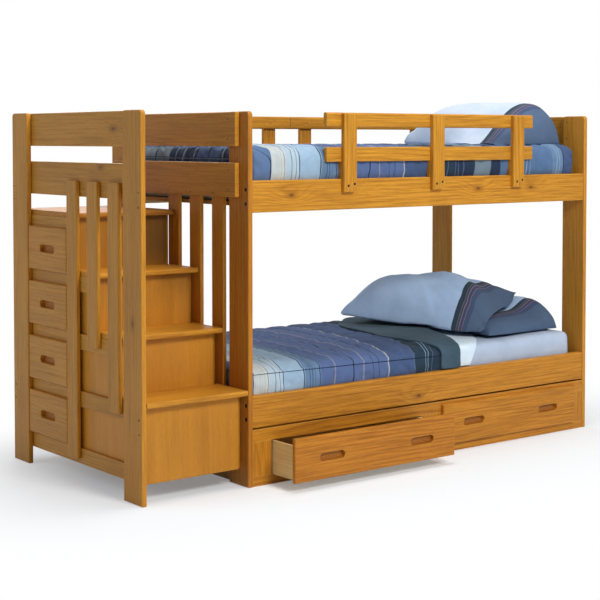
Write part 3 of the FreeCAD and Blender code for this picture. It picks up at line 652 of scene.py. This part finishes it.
BOARDS = [  # node, grain, thin axis, tone
    ("stair_post_front", "Z", "X", 0.99), ("stair_post_rear", "Z", "X", 1.0),
    # painted shade: the left front bed post's tone 0.87 stands for the shadow of the stairs on its
    # side
    ("bed_post_left_front", "Z", "X", 0.87), ("bed_post_left_rear", "Z", "X", 1.0),
    ("bed_post_right_front", "Z", "X", 1.0), ("bed_post_right_rear", "Z", "X", 0.98),
    ("upper_side_rail_front", "X", "Y", 1.02), ("upper_side_rail_rear", "X", "Y", 1.0),
    ("lower_side_rail_front", "X", "Y", 0.97), ("lower_side_rail_rear", "X", "Y", 1.0),
    ("stair_end_rails", "Y", "X", 1.0), ("bed_left_end_rails", "Y", "X", 0.98),
    ("bed_right_end_rails", "Y", "X", 1.0), ("stair_end_slats", "Z", "X", 1.0),
    ("bed_left_slats", "Z", "X", 0.96), ("stair_treads", "X", "Z", 1.02),
    # painted sheen: the front guard rails' tone 1.05 lightens them
    ("guard_front_rails", "X", "Y", 1.05), ("guard_rear_rails", "X", "Y", 1.0),
    ("guard_front_supports", "Z", "Y", 1.04), ("guard_rear_supports", "Z", "Y", 1.0),
    ("guard_spacer_blocks", "X", "Y", 0.96), ("underbed_drawer_front_left", "X", "Y", 0.87),
    ("underbed_drawer_front_right", "X", "Y", 0.94), ("stair_drawer_front_1", "Y", "X", 0.98),
    ("stair_drawer_front_2", "Y", "X", 1.0), ("stair_drawer_front_3", "Y", "X", 0.98),
    ("stair_drawer_front_4", "Y", "X", 0.97)]
# knots where the photograph has them: place along the grain and across it, in layout millimetres
KNOTS = {
    "upper_side_rail_front": [(722, 1182), (1795, 1188), (2141, 1186)],
    "lower_side_rail_front": [(1432, 275)],
    "stair_end_rails": [(245, 1453), (345, 1300)],
    "stair_post_front": [(700, 66)],
}


def knots_of(node, grain, flat):
    across = third_axis(grain, flat)
    return [(metres(a, XYZ.index(grain)), metres(w, across)) for a, w in KNOTS[node]]


for number, (node, grain, flat, tone) in enumerate(BOARDS):
    marks = knots_of(node, grain, flat) if node in KNOTS else 0.2
    paint(pine(grain, flat, number, tone, knots=marks, rings=rings_on(flat)), node)
# painted shade: the landing's tone 0.9 darkens it all, and its dim darkens it more beside the bed
paint(pine("X", "Z", 15, 0.9, dim=painted_shade_under_bunk(0.3)), "stair_landing")
for number, (node, flat) in enumerate((("stair_risers", "Y"), ("stair_side_panels", "X"),
                                       ("stair_inner_panel", "X"))):
    # painted shade on the risers, darker towards the top of the stairs beside the bed
    paint(pine("Z", flat, 30 + number, 1.0, STAINED, 0.4, "stained_ply", 0.0, 0.12,
               dim=painted_shade_under_bunk(0.72) if flat == "Y" else None), node)
paint(cross_pine("Z", "Y", "X", 40, in_stair_rail), "stair_outer_frame")
paint(cross_pine("X", "Z", "Y", 41, in_face_stile, 0.95), "underbed_face_frame")
for step in (1, 2, 3, 4):
    paint(pine("X", "Y", 50 + step, 1.0, BIRCH, 0.5, "birch", 0.0, 0.6, box_front(X, 34.5)),
          "stair_drawer_box_%d" % step)
for number, (side, edge) in enumerate((("left", -158.5), ("right", 15.5))):
    paint(pine("Y", "X", 60 + number, 1.0, BIRCH, 0.5, "birch", 0.0, 0.6, box_front(Y, edge)),
          "underbed_drawer_box_" + side)
paint(pine("Y", "Z", 70, 1.0, PALE, 0.6, "raw_pine", 0.5), "upper_bed_slats", "lower_bed_slats",
      "underbed_runners")
paint(pine("X", "Z", 71, 1.0, PALE, 0.6, "raw_pine", 0.3), "mattress_ledgers",
      "stair_drawer_runners", "underbed_carcass")
paint(pine("Z", "Y", 72, 0.97, PALE, 0.6, "raw_pine", 0.2), "stair_back_panel")
paint(steel_material(), "side_rail_bolts", "barrel_nuts", "guard_bolts", "end_rail_screws",
      "stair_screws")
paint(pine("X", "Y", 75, 1.0, name="wood_plug", knots=0.0), "guard_screws")


# ---------- mattresses
MATTRESS_LO = (549.0, 45.5)
MATTRESS_HI = (2454.0, 1035.5)
MATTRESS_H = 190.0
MATTRESS_ROUND, MATTRESS_CELL = 34.0, 17.0
TUCKED = 1.5  # how far the sheet pulls the sides in


def make_mattress(name, node, z0, material, seed, plump=0.0):
    """A mattress in its fitted sheet: crowned top, soft corners, sheet pulled tight.
    plump lifts the head end, in millimetres."""
    lo = (MATTRESS_LO[0], MATTRESS_LO[1], z0)
    hi = (MATTRESS_HI[0] + 3.0 * plump, MATTRESS_HI[1], z0 + MATTRESS_H)
    verts, faces = round_box(lo, hi, MATTRESS_ROUND, MATTRESS_CELL)
    mid = [(lo[n] + hi[n]) / 2 for n in range(3)]
    out = []
    for v in verts:
        top = smooth_step(v.z, z0 + 80.0, hi[2])
        side = abs(v.y - mid[1]) / (hi[1] - mid[1])
        end = abs(v.x - mid[0]) / (hi[0] - mid[0])
        pull = 3.0 * (1.0 - side ** 6) * smooth_step(side, 0.7, 1.0)
        p = v.copy()
        p.z -= top * (2.0 + 5.0 * max(side ** 8, end ** 12))
        p.z += top * 1.6 * puff(v, 240.0, seed)
        wave = 1.8 * ridge(Vector((v.x, v.y * 0.3, v.z * 0.5)), 70.0, seed + 5.0)
        near_corner = smooth_step(end, 0.86, 1.0)
        flank = 1.0 - smooth_step(abs(v.z - (z0 + MATTRESS_H / 2)), 60.0, MATTRESS_H / 2)
        if side > 0.97:
            p.y -= math.copysign(TUCKED + flank * near_corner * abs(wave), v.y - mid[1])
        if end > 0.97:
            p.x -= math.copysign(TUCKED + flank * abs(wave), v.x - mid[0])
        p.z += top * (plump * smooth_step(v.x, 2050.0, 2300.0) - 0.4 * pull)
        out.append(place(*p))
    piece = add_object(name, out, faces, material)
    subdivide(piece)
    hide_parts(node)


sheet_blue = plain_cloth("fitted_sheet_cotton", srgb(192, 207, 229), srgb(180, 197, 221))
make_mattress("upper_mattress_soft", "upper_mattress", 1155.0, sheet_blue, 3.0)
make_mattress("lower_mattress_soft", "lower_mattress", 280.0, sheet_blue, 11.0, 8.0)


# ---------- comforters
COVER_X = 529.0
COVER_FRONT, COVER_BACK = 32.0, 1049.0
COVER_CELL = 13.0
COVER_CLOTH = 7.0  # thickness of the cloth and its filling
NO_PIPING = 99.0
LOWER_HEAD = 1690.0
BED_MIDDLE = 540.5
# how near to its seams a cover is held while it is filled, in millimetres
RIM_HELD, PIPING_HELD, TOP_HELD, SEAM_HELD = 9.0, 7.0, 12.0, 6.6


def quilt(p, seed, amount=1.0):
    """Loft between the quilting and the small puckers along it, in millimetres."""
    long_fold = ridge(Vector((p.x * 0.55, p.y * 1.4, p.z)), 150.0, seed)
    small = ridge(Vector((p.x * 1.3, p.y * 0.9, p.z)), 62.0, seed + 9.0)
    return amount * (2.6 * long_fold + 1.5 * small + 1.2 * puff(p, 28.0, seed + 2.0))


def cover_shell(lo, hi, radius, cell, shape):
    """The open tray of a cover: a rounded box without its underside."""
    verts, faces = round_box(lo, hi, radius, cell)
    cut = lo[2] + radius + 0.5
    kept = [f for f in faces if max(verts[i].z for i in f) > cut]
    used = sorted({i for f in kept for i in f})
    back = {old: new for new, old in enumerate(used)}
    normal = []
    for i in used:
        v = verts[i]
        core = Vector([min(max(v[n], lo[n] + radius), hi[n] - radius) for n in range(3)])
        away = v - core
        normal.append(away.normalized() if away.length > 1e-6 else Vector((0, 0, 1)))
    out = [place(*shape(verts[i], n)) for i, n in zip(used, normal)]
    return out, [[back[i] for i in f] for f in kept], [verts[i] for i in used]


def rest_at(piece, start, limit):
    """Bring back every point that has moved further than limit millimetres."""
    for vert, was in zip(piece.data.vertices, start):
        step = vert.co - was
        if step.length > limit * MM:
            vert.co = was + step.normalized() * limit * MM


def stuff(piece, held, pressure, spare, limit, frames=18):
    """Cloth under pressure with a little spare length, held at some of its points."""
    start = [v.co.copy() for v in piece.data.vertices]
    group = piece.vertex_groups.new(name="held")
    group.add(held, 1.0, "REPLACE")
    cloth = piece.modifiers.new("Cloth", "CLOTH")
    assign(cloth.settings, quality=4, mass=0.2, tension_stiffness=12.0,
           compression_stiffness=12.0, shear_stiffness=4.0, bending_stiffness=0.15,
           use_pressure=True, uniform_pressure_force=pressure, shrink_min=-spare,
           vertex_group_mass="held")
    cloth.settings.effector_weights.gravity = 0.0
    cloth.collision_settings.use_collision = False
    assign(cloth.point_cache, frame_start=1, frame_end=frames)
    scene = bpy.context.scene
    for number in range(1, frames + 1):
        scene.frame_set(number)
    graph = bpy.context.evaluated_depsgraph_get()
    shaped = piece.evaluated_get(graph).data
    for vert, moved in zip(piece.data.vertices, [v.co.copy() for v in shaped.vertices]):
        vert.co = moved
    piece.modifiers.clear()
    piece.vertex_groups.clear()
    rest_at(piece, start, limit)
    scene.frame_set(1)


def make_cover(name, node, lo, hi, radius, shape, material, start, seam_z, piped):
    """A quilted cover, sewn down along lines across the bed and round its top edge."""
    verts, faces, flat = cover_shell(lo, hi, radius, COVER_CELL, shape)
    piece = add_object(name, verts, faces, material)
    mark_points(piece, "print", [metres(v.x, X) for v in flat])
    mark_points(piece, "seam", [v.z - seam_z(v.x) if piped and lo[0] + 12.0 < v.x
                                else NO_PIPING for v in flat])
    rim = min(v.z for v in flat)
    seams = [start + at for at in SEAMS]
    held = [i for i, v in enumerate(flat)
            if v.z < rim + RIM_HELD or abs(v.z - seam_z(v.x)) < PIPING_HELD
            or (v.z > hi[2] - TOP_HELD and min(abs(v.x - at) for at in seams) < SEAM_HELD)]
    stuff(piece, held, 2.0, 0.032, 10.0)
    subdivide(piece)
    apply_modifier(piece, "SOLIDIFY", thickness=COVER_CLOTH * MM, offset=-1.0)
    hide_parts(node)


def crowned(v, edge, rise, reach):
    """Height by which a cover's top changes: edge at its long sides, edge and rise inside."""
    side = min(v.y - (COVER_FRONT - 1.0), COVER_BACK + 1.0 - v.y)
    return edge + rise * (1.0 - math.exp(-max(0.0, side) / reach))


def upper_shape(v, n):
    top = smooth_step(v.z, 1345.0, 1376.0)
    belly = (1.0 - smooth_step(abs(v.z - 1300.0), 20.0, 70.0)) * 4.0
    p = v + n * (quilt(v, 2.0, 0.8) + belly * abs(n.y))
    p.z += top * crowned(v, -6.0, 7.0, 140.0)
    return p


def curve(y, points):
    """A smooth line through (y, x) points."""
    for (y0, x0), (y1, x1) in zip(points, points[1:]):
        if y <= y1:
            t = max(0.0, (y - y0) / (y1 - y0))
            return x0 + (x1 - x0) * (0.6 * t + 0.4 * t * t * (3.0 - 2.0 * t))
    return points[-1][1]


def fold_edge_in(y):
    return curve(y, [(30, 1582), (80, 1564), (143, 1540), (207, 1520), (272, 1502), (351, 1496),
                     (463, 1526), (629, 1546), (736, 1574), (835, 1642), (910, 1740), (1050, 1870)])


def fold_edge_out(y):
    return curve(y, [(30, 1700), (120, 1738), (250, 1786), (510, 1880), (680, 1925), (850, 1942),
                     (1050, 1945)])


def sheet_edge(y):
    return curve(y, [(38, 1828), (120, 1905), (250, 1995), (475, 2070), (700, 2090), (1050, 2090)])


def lower_shape(v, n):
    """The lower cover is pulled askew, so that its head end meets the fold."""
    p = v + n * quilt(v, 6.0)
    p.z += smooth_step(v.z, 452.0, 486.0) * crowned(v, -24.0, 26.0, 110.0)
    p.x += smooth_step(v.x, 900.0, LOWER_HEAD) * (fold_edge_out(v.y) - (LOWER_HEAD + 12.0))
    return p


upper_print = striped("upper_comforter_print", UPPER_START, foot=True)
# painted light: the lower comforter's print is a lighter copy, by a gain of 1.05
lower_print = striped("lower_comforter_print", LOWER_START, painted_light_gain=1.05)
SEAMS = (40.0, 108.0, 224.0, 350.0, 405.0, 500.0, 580.0, 675.0, 770.0, 860.0, 935.0, 1030.0,
         1130.0, 1220.0, 1300.0, 1400.0, 1480.0, 1600.0, 1690.0)
make_cover("upper_comforter_soft", "upper_comforter", (COVER_X, COVER_FRONT, 1215.0),
           (2474.0, COVER_BACK, 1379.0), 30.0, upper_shape, upper_print, UPPER_START,
           lambda x: 1349.0, False)
make_cover("lower_comforter_soft", "lower_comforter", (COVER_X, COVER_FRONT, 340.0),
           (LOWER_HEAD, COVER_BACK, 487.0), 28.0, lower_shape, lower_print, LOWER_START,
           lambda x: 454.0 - 0.019 * (x - 547.0), True)


def side_path(z_low, z_top, y_out, r, crown, drop):
    """Up the front of the bedding, over it and down the back, with normals. The top edges
    are rounded by r and lie lower than z_top by drop, which fades inwards over crown."""
    path = []
    z = z_low
    while z < z_top - r - drop:
        path.append((Vector((0, y_out, z)), Vector((0, -1, 0))))
        z += 10.0
    for step in range(0, 9):
        t = math.radians(90.0 * step / 8)
        path.append((Vector((0, y_out + r - r * math.cos(t), z_top - drop - r + r * math.sin(t))),
                     Vector((0, -math.cos(t), math.sin(t)))))
    y = y_out + r
    while y < BED_MIDDLE:
        y += 14.0
        near = 1.0 - math.exp(-(y - y_out) / crown)
        at = Vector((0, min(y, BED_MIDDLE), z_top - drop * (1.0 - near)))
        path.append((at, Vector((0, 0, 1))))
    back = [(Vector((0, 2 * BED_MIDDLE - p.y, p.z)), Vector((0, -n.y, n.z)))
            for p, n in path[:-1]]
    return path + back[::-1]


def sweep(path, ring_at):
    """Closed rings of points, one for each place on the path, and end caps."""
    verts = [v for p, n in path for v in ring_at(p, n)]
    count = len(verts) // len(path)
    faces = []
    for start in range(0, len(verts) - count, count):
        for j in range(count):
            a, b = start + j, start + (j + 1) % count
            faces.append([a, b, b + count, a + count])
    faces.append(list(range(count))[::-1])
    faces.append(list(range(len(verts) - count, len(verts))))
    return verts, faces


FOLD_HALF = 8.5  # half the thickness of the part that is turned back
FOLD_STEPS = 36
SHEET_STEPS = 20
SHEET_TUCK = 26.0  # how far the sheet reaches under the fold


def make_fold():
    """The head end of the lower comforter, turned back to show its plain reverse."""
    path = side_path(373.0, 489.0, 29.0, 26.0, 110.0, 22.0)

    def ring(p, n):
        x0, x1 = fold_edge_in(p.y), fold_edge_out(p.y)
        wide = (x1 - x0) / 2 - FOLD_HALF
        mid = (x0 + x1) / 2
        out = []
        for k in range(FOLD_STEPS):
            a = 2.0 * math.pi * k / FOLD_STEPS
            outward, up = math.cos(a), math.sin(a)
            x = mid + wide * max(-1.0, min(1.0, 1.35 * outward)) + FOLD_HALF * outward
            lift = FOLD_HALF * up + FOLD_HALF
            q = Vector((x, p.y, p.z))
            rim = 2.2 * puff(q, 34.0, 4.0) * (1.0 if outward < 0 else 0.5)
            loft = (2.4 * ridge(q, 80.0, 7.0) + 1.2 * puff(q, 24.0, 5.0)) * max(0.0, up)
            bulge = 3.5 * max(0.0, outward) * max(0.0, up)
            q += n * (lift + loft + bulge)
            q.x += rim
            out.append(place(*q))
        return out

    verts, faces = sweep(path, ring)
    reverse = plain_cloth("comforter_reverse", srgb(62, 83, 97), srgb(73, 96, 110), 0.003)
    piece = add_object("lower_comforter_fold", verts, faces, reverse)
    subdivide(piece)
    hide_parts("lower_comforter")


def make_top_sheet():
    """The top sheet, turned back over the head end of the comforter."""
    path = side_path(374.0, 475.0, 36.0, 24.0, 110.0, 6.0)
    steps = SHEET_STEPS
    verts, faces = [], []
    for index, (p, n) in enumerate(path):
        x0 = fold_edge_out(p.y) - SHEET_TUCK
        x1 = sheet_edge(p.y) - 0.5 * max(0.0, 476.0 - p.z)
        for k in range(steps + 1):
            x = x0 + (x1 - x0) * k / steps
            q = Vector((x, p.y, p.z))
            q += n * (1.6 + 0.8 * ridge(q, 60.0, 12.0) + 1.2 * smooth_step(k, steps - 2, steps))
            verts.append(place(*q))
        if index:
            base = (index - 1) * (steps + 1)
            for k in range(steps):
                a = base + k
                faces.append([a, a + steps + 1, a + steps + 2, a + 1])
    cotton = plain_cloth("top_sheet_cotton", srgb(228, 244, 255), srgb(216, 236, 252))
    piece = add_object("lower_top_sheet_soft", verts, faces, cotton)
    apply_modifier(piece, "SOLIDIFY", thickness=0.0012, offset=-1.0)
    subdivide(piece)
    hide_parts("lower_top_sheet")


make_fold()
make_top_sheet()


# ---------- pillows
CUFF = 158.0  # depth of the dark hem of a case
CUFF_SPAN = 160.0  # length over which the hem's stripes are placed
PILLOW_CELLS = (58, 42)  # along and across


def pillow_shader(name, body, body_dark):
    """Plain case with a dark striped cuff; "run" counts millimetres from the hem."""
    s = Shader(name)
    run = s.attribute("run")
    plain = uneven(s, 6.0, body, body_dark)
    cuff = s.ramp(s.times(run, 1.0 / CUFF_SPAN), [
        (0.0, srgb(84, 104, 132)), (0.5, srgb(72, 86, 118)), (0.64, srgb(128, 118, 124)),
        (0.66, srgb(74, 74, 112)), (0.74, srgb(148, 134, 128)), (0.76, srgb(66, 76, 96)),
        (0.82, srgb(118, 112, 118)), (0.835, srgb(52, 68, 82))], "CONSTANT")
    colour = s.mix(s.math("GREATER_THAN", run, CUFF), cuff, plain)
    return finish_cloth(s, colour, 0.0016)


def profile(t, power):
    """Rise of a stuffed case from its edge, at 0, to its crown, at 1."""
    t = min(1.0, max(0.0, t))
    return (1.0 - (1.0 - t) ** 2.3) ** power


def pillow_height(across, along, stiff, lean=0.0, slack=0.0, firm=0.0):
    """Loft as a share of the crown; across from -1 to 1, along from the hem, 0, to 1.
    Near the hem, lean shifts the crown to the right, slack flattens the case left of it
    and firm fills it out right of it."""
    hem = profile(along / (0.42 - 0.14 * stiff), 0.86 - 0.38 * stiff)
    end = profile((1.0 - along) / 0.44, 0.5)
    near = 1.0 - smooth_step(along, 0.15, 0.7)
    crown, power = lean * near, 0.46 - 0.1 * stiff
    if across < crown:
        return hem * end * profile((1.0 + across) / (1.0 + crown), power + slack * near)
    return hem * end * profile((1.0 - across) / (1.0 - crown), power - firm * near)


def pillow_form(length, width, thick, shape, under, move, seed):
    """A stuffed case whose underside lies on under(x, y), a height in layout millimetres."""
    nu, nv = PILLOW_CELLS
    verts, run, faces, lying = [], [], [], []
    index = {}
    for layer in (1, -1):
        for j in range(nv + 1):
            for i in range(nu + 1):
                if layer < 0 and (i in (0, nu) or j in (0, nv)):
                    index[(layer, i, j)] = index[(1, i, j)]
                    continue
                a, v = i / nu, 2.0 * j / nv - 1.0
                u = 2.0 * a - 1.0
                h = pillow_height(v, a, *shape)
                x = 0.5 * width * v * (1.0 - 0.05 * (1.0 - u * u) * abs(v) ** 3)
                pull = 0.05 * (1.0 - v * v) * max(0.0, u) ** 3
                y = length * a * (1.0 - pull)
                p = move(x, y)
                z = under(p.x, p.y)
                if layer > 0:
                    q = Vector((x, y, 0.0))
                    z += 7.0 + thick(p.x, p.y) * h
                    uneven = 5.0 * puff(q, 150.0, seed) + 2.4 * puff(q, 60.0, seed)
                    z += min(1.0, 3.0 * h) * uneven
                    z -= 4.0 * math.exp(-((y - CUFF) / 9.0) ** 2) * min(1.0, 4.0 * h)
                else:
                    lying.append(len(verts))
                index[(layer, i, j)] = len(verts)
                verts.append(Vector((p.x, p.y, z)))
                run.append(length * a)
    for layer in (1, -1):
        for j in range(nv):
            for i in range(nu):
                quad = [index[(layer, i, j)], index[(layer, i, j + 1)],
                        index[(layer, i + 1, j + 1)], index[(layer, i + 1, j)]]
                faces.append(quad if layer < 0 else quad[::-1])
    return verts, run, faces, lying


def make_pillow(name, node, size, thick, shape, under, move, material, seed):
    verts, run, faces, lying = pillow_form(size[0], size[1], thick, shape, under, move, seed)
    piece = add_object(name, [place(*v) for v in verts], faces, material)
    mark_points(piece, "run", run)
    stuff(piece, lying, 3.0, 0.045, 12.0)
    subdivide(piece)
    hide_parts(node)


case = pillow_shader("pillow_case_blue", srgb(177, 204, 237), srgb(164, 191, 226))
case_pale = pillow_shader("pillow_case_pale", srgb(206, 218, 234), srgb(190, 206, 228))


def turned_move(x, y, turn, skew=0.0):
    """The hem's middle at (x, y); turn for its width, turn and skew for its length."""
    along, up = (math.cos(turn), math.sin(turn)), (-math.sin(turn + skew), math.cos(turn + skew))
    return lambda a, b: Vector((x + a * along[0] + b * up[0], y + a * along[1] + b * up[1], 0.0))


# the pillow that the second one lies on
UNDER_X, UNDER_Y, UNDER_Z = 2214.0, 102.0, 484.0
UNDER_SIZE = (690.0, 480.0)
UNDER_SHAPE = (1.0, 0.0, 0.0, 0.2)
SPAN = (-80.0, -40.0, 0.0, 40.0, 80.0)  # over which the second case doesn't follow steps


def under_loft(x, y):
    """The first pillow's crown: pressed down at its left, where the second one lies."""
    return 92.0 + 76.0 * smooth_step(x + 0.25 * (y - 300.0), 2230.0, 2400.0)


def on_lower_pillow(x, y):
    """Height of the bedding under the second pillow: the first one, else the sheets."""
    base = 483.0 + 25.0 * (1.0 - smooth_step(x - fold_edge_out(y), 0.0, 40.0))
    a, v = (y - UNDER_Y) / UNDER_SIZE[0], (x - UNDER_X) / (UNDER_SIZE[1] / 2)
    if 0.0 <= a <= 1.0 and abs(v) <= 1.0:
        base = max(base, UNDER_Z + under_loft(x, y) * pillow_height(v, a, *UNDER_SHAPE))
    return base


def bridged(x, y):
    """The same, spanned by a case too stiff to follow every step."""
    heights = [on_lower_pillow(x + dx, y + dy) for dx in SPAN for dy in SPAN]
    lift = 24.0 * smooth_step(y, 450.0, 760.0) * (1.0 - smooth_step(x, 1700.0, 1950.0))
    return max(on_lower_pillow(x, y), sum(heights) / len(heights) + lift) + 14.0


def draped_loft(x, y):
    """The second pillow's loft: fuller where it spans the step down from the first one."""
    return (188.0 + 45.0 * (1.0 - smooth_step(x, 1880.0, 2060.0))
            - 42.0 * smooth_step(x, 2040.0, 2160.0) - 8.0 * smooth_step(x, 2200.0, 2330.0))


make_pillow("upper_pillow_soft", "upper_pillow", (690.0, 434.0), lambda x, y: 212.0,
            (1.0, 0.7, 1.3, 0.12), lambda x, y: 1386.0, turned_move(2245.0, 100.0, 0.0),
            case_pale, 21.0)
make_pillow("lower_pillow_under_soft", "lower_pillow_under", UNDER_SIZE, under_loft,
            UNDER_SHAPE, lambda x, y: UNDER_Z, turned_move(UNDER_X, UNDER_Y, 0.0), case, 22.0)
make_pillow("lower_pillow_top_soft", "lower_pillow_top", (740.0, 480.0), draped_loft,
            (0.0, 0.35, 0.3), bridged,
            turned_move(2140.0, 195.0, math.radians(22.8), math.radians(4.0)), case, 23.0)


# ---------- floor and light
FLOOR_HALF = 40.0
FLOOR_COLOUR = (0.89, 0.945, 0.985, 1.0)
FLOOR_LONG = 0.6  # the floor's lit part is longer along the bed
FADE_FROM, FADE_TO, FADE_LEAST = 0.6, 1.5, 0.22  # metres from the middle, share of white there
WORLD_COLOUR = (0.96, 0.98, 1.0, 1.0)
WORLD_LIGHT = 0.20
LIGHTS = [  # name, place, aim, size, watts, colour
    ("key", (-0.6, -5.6, 4.4), (0.0, 0.0, 0.8), 1.9, 262.0, (1.0, 0.99, 0.975)),
    ("top", (0.2, -0.7, 5.6), (0.0, 0.0, 0.0), 2.2, 125.0, (1.0, 1.0, 1.0)),
    ("fill", (-5.2, 2.2, 3.4), (-1.0, 0.3, 0.8), 3.0, 50.0, (0.88, 0.96, 1.15)),
    ("back", (1.5, 5.0, 4.5), (0.0, 0.0, 0.8), 3.0, 110.0, (1.0, 1.0, 1.0))]


def seen_white(nodes, kind, lit, out, fade=1.0):
    """White for the eye, for gloss and through clear things, by the share of fade; lit for
    all other light."""
    path = nodes.add("ShaderNodeLightPath").outputs
    seen = nodes.math("MAXIMUM", path["Is Camera Ray"], path["Is Glossy Ray"])
    seen = nodes.math("MAXIMUM", seen, path["Is Transmission Ray"])
    white = nodes.add(kind)
    white.inputs["Color"].default_value = WHITE
    white.inputs["Strength"].default_value = 1.0
    mix = nodes.add("ShaderNodeMixShader")
    nodes.feed(mix.inputs[0], nodes.times(seen, fade))
    nodes.link(lit, mix.inputs[1])
    nodes.link(white.outputs[0], mix.inputs[2])
    nodes.link(mix.outputs[0], out.inputs["Surface"])


def make_floor():
    s = Shader("pale_floor")
    far = s.add("ShaderNodeVectorMath", operation="LENGTH")
    s.link(s.scaled(s.coords, FLOOR_LONG, 1.0, 1.0), far.inputs[0])
    fade = s.range(far.outputs["Value"], FADE_FROM, FADE_TO, FADE_LEAST, 1.0, True)
    seen_white(s, "ShaderNodeEmission", s.bsdf.outputs["BSDF"], s.out, fade)
    s.set(Base_Color=FLOOR_COLOUR, Roughness=0.9, Specular_IOR_Level=0.1)
    mesh = bpy.data.meshes.new("floor")
    size = FLOOR_HALF
    mesh.from_pydata([(-size, -size, 0), (size, -size, 0), (size, size, 0), (-size, size, 0)],
                     [], [(0, 1, 2, 3)])
    floor = linked("floor", mesh)
    mesh.materials.append(s.mat)


def make_world():
    world = bpy.data.worlds.new("studio")
    bpy.context.scene.world = world
    world.use_nodes = True
    nodes = Nodes(world.node_tree)
    out = nodes.add("ShaderNodeOutputWorld")
    dim = nodes.add("ShaderNodeBackground")
    dim.inputs["Color"].default_value = WORLD_COLOUR
    dim.inputs["Strength"].default_value = WORLD_LIGHT
    seen_white(nodes, "ShaderNodeBackground", dim.outputs[0], out)


def area_light(name, place_at, aim, size, watts, colour):
    lamp = bpy.data.lights.new(name, "AREA")
    assign(lamp, shape="DISK", size=size, energy=watts, color=colour)
    lit = linked(name, lamp)
    lit.location = place_at
    lit.rotation_euler = (Vector(aim) - Vector(place_at)).to_track_quat("-Z", "Y").to_euler()


make_floor()
make_world()
for light in LIGHTS:
    area_light(*light)

# ---------- camera
CAMERA_LENS = 85.62
CAMERA_SHIFT = (0.00166, -0.175)
CAMERA_PLACE = (-2831.3, -4661.2, 1410.9)
CAMERA_DOWN, CAMERA_RIGHT = 2.227, 37.602  # degrees

camera = bpy.data.cameras.new("camera")
assign(camera, sensor_width=36.0, lens=CAMERA_LENS, shift_x=CAMERA_SHIFT[0],
       shift_y=CAMERA_SHIFT[1], clip_end=100.0)
viewer = linked("camera", camera)
viewer.location = place(*CAMERA_PLACE)
viewer.rotation_euler = (math.radians(90.0 - CAMERA_DOWN), 0.0, math.radians(-CAMERA_RIGHT))
bpy.context.scene.camera = viewer
bpy.context.scene.view_settings.view_transform = "Standard"

bpy.context.view_layer.update()
